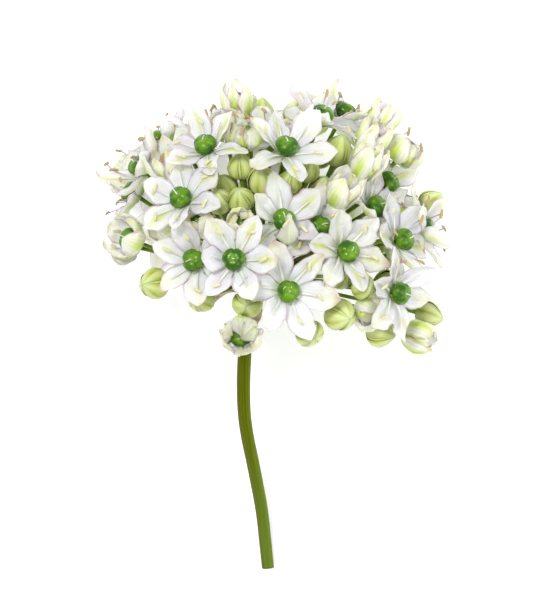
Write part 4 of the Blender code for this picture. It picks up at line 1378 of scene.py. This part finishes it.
# %% Make the umbel
STEM_SIDES = 8
stem_rings = stem_points[stem_points[:, 1].argsort()].reshape(-1, STEM_SIDES, 3)
stem_line = stem_rings.mean(axis=1)
head_axis = unit(receptacle - stem_line[-1])
every_base = np.concatenate([bases, bud_base])
every_facing = np.concatenate([facings, bud_facing])
stalks = [stalk_skins(every_base, every_facing), knob_skin(head_axis)]
piece("stalks", stalks, [stalk_green(), knob_paint], "umbel")
piece("ovaries", [ovary_skins()], [ovary_green()], "umbel")
piece("styles", [style_skins()], [filament_paint], "umbel")
piece("buds", bud_skins(), [bud_green(), seam_shade_paint], "umbel")
print("head axis", head_axis.round(3))

# %% [markdown]
# ## The stem
#
# The scape is a round, leafless, slightly curved stem with a waxy skin, faint ridges along it, and
# a clean cut at its foot. The solid has 16 rings of eight points. Their middles give the path and
# their mean distance the radius, and both are drawn finer with a cubic through each four
# neighbours. The cut is a flat, paler face with a soft rim.

# %% Shape of the stem
STEM_ROWS = 120
STEM_AROUND = 48
RIDGES = ((0.012, 11, 0), (0.0072, 17, 1))
CUT_STEPS = np.array([0.35, 0.7, 0.93, 1.0])
CUT_SIZE = 0.97
CUT_MARKS = 0.02
STEM_MARKS = (0.03, 0.97)


def finer(values, count):
    """Values between a few given ones, on Catmull-Rom curves: at a share t between two of them, half
    the sum of the four nearest, times the polynomials that pass both with even slopes."""
    padded = np.concatenate([2 * values[:1] - values[1:2], values, 2 * values[-1:] - values[-2:-1]])
    at = np.linspace(0, len(values) - 1, count)
    index = np.minimum(at.astype(int), len(values) - 2)
    t = (at - index)[:, None]
    a, b, c, d = (padded[index + k] for k in range(4))
    return 0.5 * (
        2 * b + (c - a) * t + (2 * a - 5 * b + 4 * c - d) * t**2 + (3 * b - a - 3 * c + d) * t**3
    )


def stem_skin():
    """The stem's rings, with a radius that waves with the angle around it, and smaller rings in the
    plane of the cut before them."""
    sizes = np.linalg.norm(stem_rings - stem_line[:, None], axis=2).mean(axis=1, keepdims=True)
    path, radii = finer(stem_line, STEM_ROWS), finer(sizes, STEM_ROWS)[:, 0]
    rings = tube(path, unit(np.gradient(path, axis=0)), np.array([UP]), radii, STEM_AROUND)
    around = full_turn(STEM_AROUND)
    ridges = sum(size * np.sin(count * around + turn) for size, count, turn in RIDGES)
    rings = path[:, None] + (rings - path[:, None]) * (1 + ridges[:, None])
    cut = path[0] + (rings[0] - path[0]) * CUT_STEPS[:, None, None] * CUT_SIZE
    along = np.concatenate([CUT_MARKS * CUT_STEPS, np.linspace(*STEM_MARKS, STEM_ROWS)])
    return skins(np.concatenate([cut, rings])[None], along=along)


print("rings of the stem's solid:", len(stem_rings))

# %% [markdown]
# The stem's colour is an olive green, lighter on one side, with long streaks: noise that is
# stretched along the stem. Its foot has a greyish bloom and its flanks are brown. The cut is pale.

# %% Finish of the stem
STEM_GREEN = (0.125, 0.155, 0.001, 1)
STEM_DARK = (0.085, 0.098, 0.001, 1)
STEM_PALE = (0.20, 0.23, 0.015, 1)
STEM_BROWN = (0.17, 0.07, 0.035, 1)
STEM_BLOOM = (0.14, 0.25, 0.06, 1)
CUT_PALE = (0.52, 0.56, 0.30, 1)
STREAK_DEPTH = 0.12 * MM


def stem_green():
    """Olive, streaked with dark and pale by noise in the stem's own around and along."""
    material, tree = shader("stem green", Roughness=0.45, Specular_IOR_Level=0.08)
    marks = put(tree, "UVMap", uv_map=SKIN)
    around, along = (put(tree, "SeparateXYZ", marks, out=axis) for axis in (0, 1))
    angle = times(around, 2 * math.pi)
    cosine, sine = maths("COSINE", angle), maths("SINE", angle)
    place = put(tree, "CombineXYZ", cosine, sine, along)
    streaks = noise(place, waves=6.0, octaves=5.0)
    patches = noise(place, waves=1.3, octaves=2.0)
    flanks = maths("ABSOLUTE", maths("SUBTRACT", sine, 0.06))
    ground = layered(
        STEM_DARK,
        (fade(streaks, 0.35, 0.68), STEM_GREEN),
        (fade(streaks, 0.60, 0.85, 0.0, 0.35), STEM_PALE),
        (fade(patches, 0.45, 0.75, 0.0, 0.25), STEM_PALE),
        (fade(sine, 0.3, 0.8, 0.0, 0.35), STEM_PALE),
        (fade(along, 0.15, 0.62, 0.34, 0.0), STEM_BLOOM),
        (fade(flanks, 0.82, 1.0, 0.0, 0.65), STEM_BROWN),
        (fade(along, 0.018, 0.024, 1.0, 0.0), CUT_PALE),
    )
    return dress(material, ground, streaks, STREAK_DEPTH)


stem = piece("stem", [stem_skin()], [stem_green()], "scape")
print("stem faces:", len(stem.data.polygons))

# %% [markdown]
# ## The bract
#
# Before the umbel opened, a papery bract closed round it. It has split into three dry valves that
# fold back round the top of the stem from a narrow collar. The solid gives the tips of the valves:
# they are its three points furthest from the collar's middle, which lies on the stem's axis.

# %% Shape of the bract
COLLAR_DROP = 5.4 * MM
COLLAR_HOLE = 2.15 * MM
COLLAR_HALF_WIDTH = 0.45 * MM
COLLAR_HALF_DEPTH = 0.35 * MM
COLLAR_SECTION = 12
COLLAR_AROUND = 48
COLLAR_MARKS = (0.25, 0.1)
VALVES = 3
VALVE_HALF_WIDTH = 3.0 * MM
VALVE_ROOT = 2.6 * MM
VALVE_HANDLE = 0.45
VALVE_THICKNESS = 0.22 * MM
VALVE_START = 0.16
VALVE_POWERS = (1.1, 0.8)
VALVE_PLEAT = 0.20 * MM
VALVE_WAVE = (4, 9, 0)
VALVE_ARCH = 0.45 * MM
ARCH_START = 0.3


def valve_skins(centre):
    """Folded leaves on Bezier paths from the collar to the solid's tips.

    A valve swells as a power of the sine of a power of the share. It is pleated by a wave across
    it, and arched round the stem by the square of the distance from its middle, more at the tip.
    """
    points = solid("spathe")[0]
    tips = points[np.linalg.norm(points - centre, axis=1).argsort()[-VALVES:]]
    outward = tips - centre
    outward = unit(outward - head_axis * (outward @ head_axis)[:, None])
    root = centre + VALVE_ROOT * outward
    handle = VALVE_HANDLE * np.linalg.norm(tips - root, axis=1)[:, None] * outward
    share = row_steps[:-1]
    path, way = bezier(np.stack([root, root + handle, tips], axis=1), share)
    side = np.cross(head_axis, outward)[:, None]
    rounded = VALVE_START + (1 - VALVE_START) * share
    swell = np.sin(math.pi * rounded ** VALVE_POWERS[0])[:, None].clip(0) ** VALVE_POWERS[1]
    pleat = VALVE_PLEAT * wave(share[:, None], ACROSS, 0, VALVE_WAVE) * swell
    arch = VALVE_ARCH * ACROSS**2 * (ARCH_START + share[:, None])
    thick = VALVE_THICKNESS / 2 * (1 - ACROSS**2) ** EDGE_POWER * SIDES
    rings = path[:, :, None] + (VALVE_HALF_WIDTH * swell * ACROSS)[..., None] * side[:, :, None]
    rings = rings + (pleat + arch + thick)[..., None] * np.cross(way, side)[:, :, None]
    return skins(rings, end=tips, tint=draw.random(VALVES), along=share)


def collar_skin(centre):
    """A closed ring: an oval section at every angle round the axis, and the last one joined to the
    first, with no poles."""
    section = full_turn(COLLAR_SECTION)
    first = unit(np.cross(head_axis, UP))
    flat = spokes(full_turn(COLLAR_AROUND), first, np.cross(head_axis, first))
    reach = COLLAR_HOLE + COLLAR_HALF_WIDTH * (1 + np.cos(section))[:, None, None]
    points = centre + reach * flat + COLLAR_HALF_DEPTH * np.sin(section)[:, None, None] * head_axis
    here = np.arange(points.size // 3).reshape(points.shape[:2])
    above, ahead = (np.roll(here, -1, axis=axis) for axis in (0, 1))
    quads = np.stack([here, ahead, np.roll(ahead, -1, axis=0), above], axis=-1).reshape(-1, 4)
    marks = np.tile(COLLAR_MARKS, (len(quads), 4, 1))
    return closed_part(points.reshape(1, -1, 3), [(quads, marks)], 0.0, 0)


bract_middle = receptacle - head_axis * COLLAR_DROP
bract_parts = [valve_skins(bract_middle), collar_skin(bract_middle)]
print("valves of the bract:", VALVES)

# %% [markdown]
# Dry bracts are a papery tan with close parallel veins and darker, brown blotches near their tips.

# %% Finish of the bract
PAPER = (0.56, 0.47, 0.28, 1)
PAPER_PALE = (0.70, 0.64, 0.45, 1)
PAPER_BROWN = (0.30, 0.20, 0.10, 1)
PAPER_DEPTH = 0.08 * MM


def bract_paper():
    """Pale tan, veined, brown in blotches towards the tip."""
    material, tree = shader("bract paper", Roughness=0.7)
    leaf = marks_of(tree, veins=8.0)
    ground = layered(
        PAPER,
        (speckle(tree, 600), PAPER_PALE),
        (times(leaf["Veins"], 0.45), PAPER_BROWN),
        (times(speckle(tree, 900, 0.5, 0.62), fade(leaf["Along"], 0.3, 1.0)), PAPER_BROWN),
    )
    return dress(material, ground, leaf["Veins"], PAPER_DEPTH)


bract = piece("bract", bract_parts, [bract_paper()], "spathe")
print("bract faces:", len(bract.data.polygons))

# %% [markdown]
# ## Table, light and camera
#
# The flower lies on a near-white table. The light is a bright white surround with two soft panels:
# one from the upper left, which gives the petals their shape, and a larger one low from the right
# that fills the shadows. A bare white table would come out grey in its own shade, so the surround
# is strong and the table glows faintly. The camera looks straight down from far off with a long
# lens, so the near flowers look hardly bigger than the far ones.

# %% Table
TABLE_SIZE = 30.0
TABLE_WHITE = (0.99, 0.99, 0.99, 1)
PURE_WHITE = (1, 1, 1, 1)


def table_white():
    """Near white, with a hardly visible unevenness, and a faint glow."""
    glow = {"Emission_Strength": 0.16, "Emission_Color": PURE_WHITE}
    material, tree = shader("table white", Roughness=0.6, **glow)
    return dress(material, layered(TABLE_WHITE, (times(speckle(tree, 3), 0.3), WHITE)))


half = TABLE_SIZE / 2
table_corners = [(-half, -half, 0), (half, -half, 0), (half, half, 0), (-half, half, 0)]
table_mesh = bpy.data.meshes.new("table")
table_mesh.from_pydata(table_corners, [], [(0, 1, 2, 3)])
table_mesh.materials.append(table_white())
table_top = bpy.data.objects.new("table", table_mesh)
bpy.context.collection.objects.link(table_top)
print("table corners:", len(table_corners))

# %% Light
SURROUND = 0.67
# name, place, width, watts
PANELS = [
    ("upper left panel", (-0.25, 0.30, 1.00), 0.20, 5.6),
    ("right panel", (0.7, -0.1, 0.6), 0.5, 2.6),
]
world = bpy.data.worlds.new("white surround")
world.use_nodes = True
background = world.node_tree.nodes["Background"].inputs
background["Color"].default_value = PURE_WHITE
background["Strength"].default_value = SURROUND
scene = bpy.context.scene
scene.world = world
scene.view_settings.view_transform = "Standard"
scene.view_settings.look = "Medium High Contrast"


def panel(name, place, width, power):
    """A square area light that faces the receptacle."""
    light = bpy.data.lights.new(name, "AREA")
    light.size = width
    light.energy = power
    lamp = bpy.data.objects.new(name, light)
    lamp.location = place
    lamp.rotation_euler = Vector(receptacle - place).to_track_quat("-Z", "Y").to_euler()
    lamp.visible_camera = False
    bpy.context.collection.objects.link(lamp)


for settings in PANELS:
    panel(*settings)
print("panels:", len(PANELS))

# %% Camera
PHOTO_LONG_SIDE = 591
PIXEL = 0.24 * MM
SENSOR = 36.0
CAMERA_HEIGHT = 5.5
CAMERA_RANGE = (0.1, 100.0)
PHOTO_MIDDLE = (0.68 * MM, 8.56 * MM)

camera = bpy.data.cameras.new("camera")
camera.sensor_fit = "AUTO"
camera.sensor_width = SENSOR
camera.lens = SENSOR * (CAMERA_HEIGHT - receptacle[2]) / (PHOTO_LONG_SIDE * PIXEL)
camera.clip_start, camera.clip_end = CAMERA_RANGE
eye = bpy.data.objects.new("camera", camera)
eye.location = (*PHOTO_MIDDLE, CAMERA_HEIGHT)
bpy.context.collection.objects.link(eye)
scene.camera = eye
print("lens, mm:", round(camera.lens))
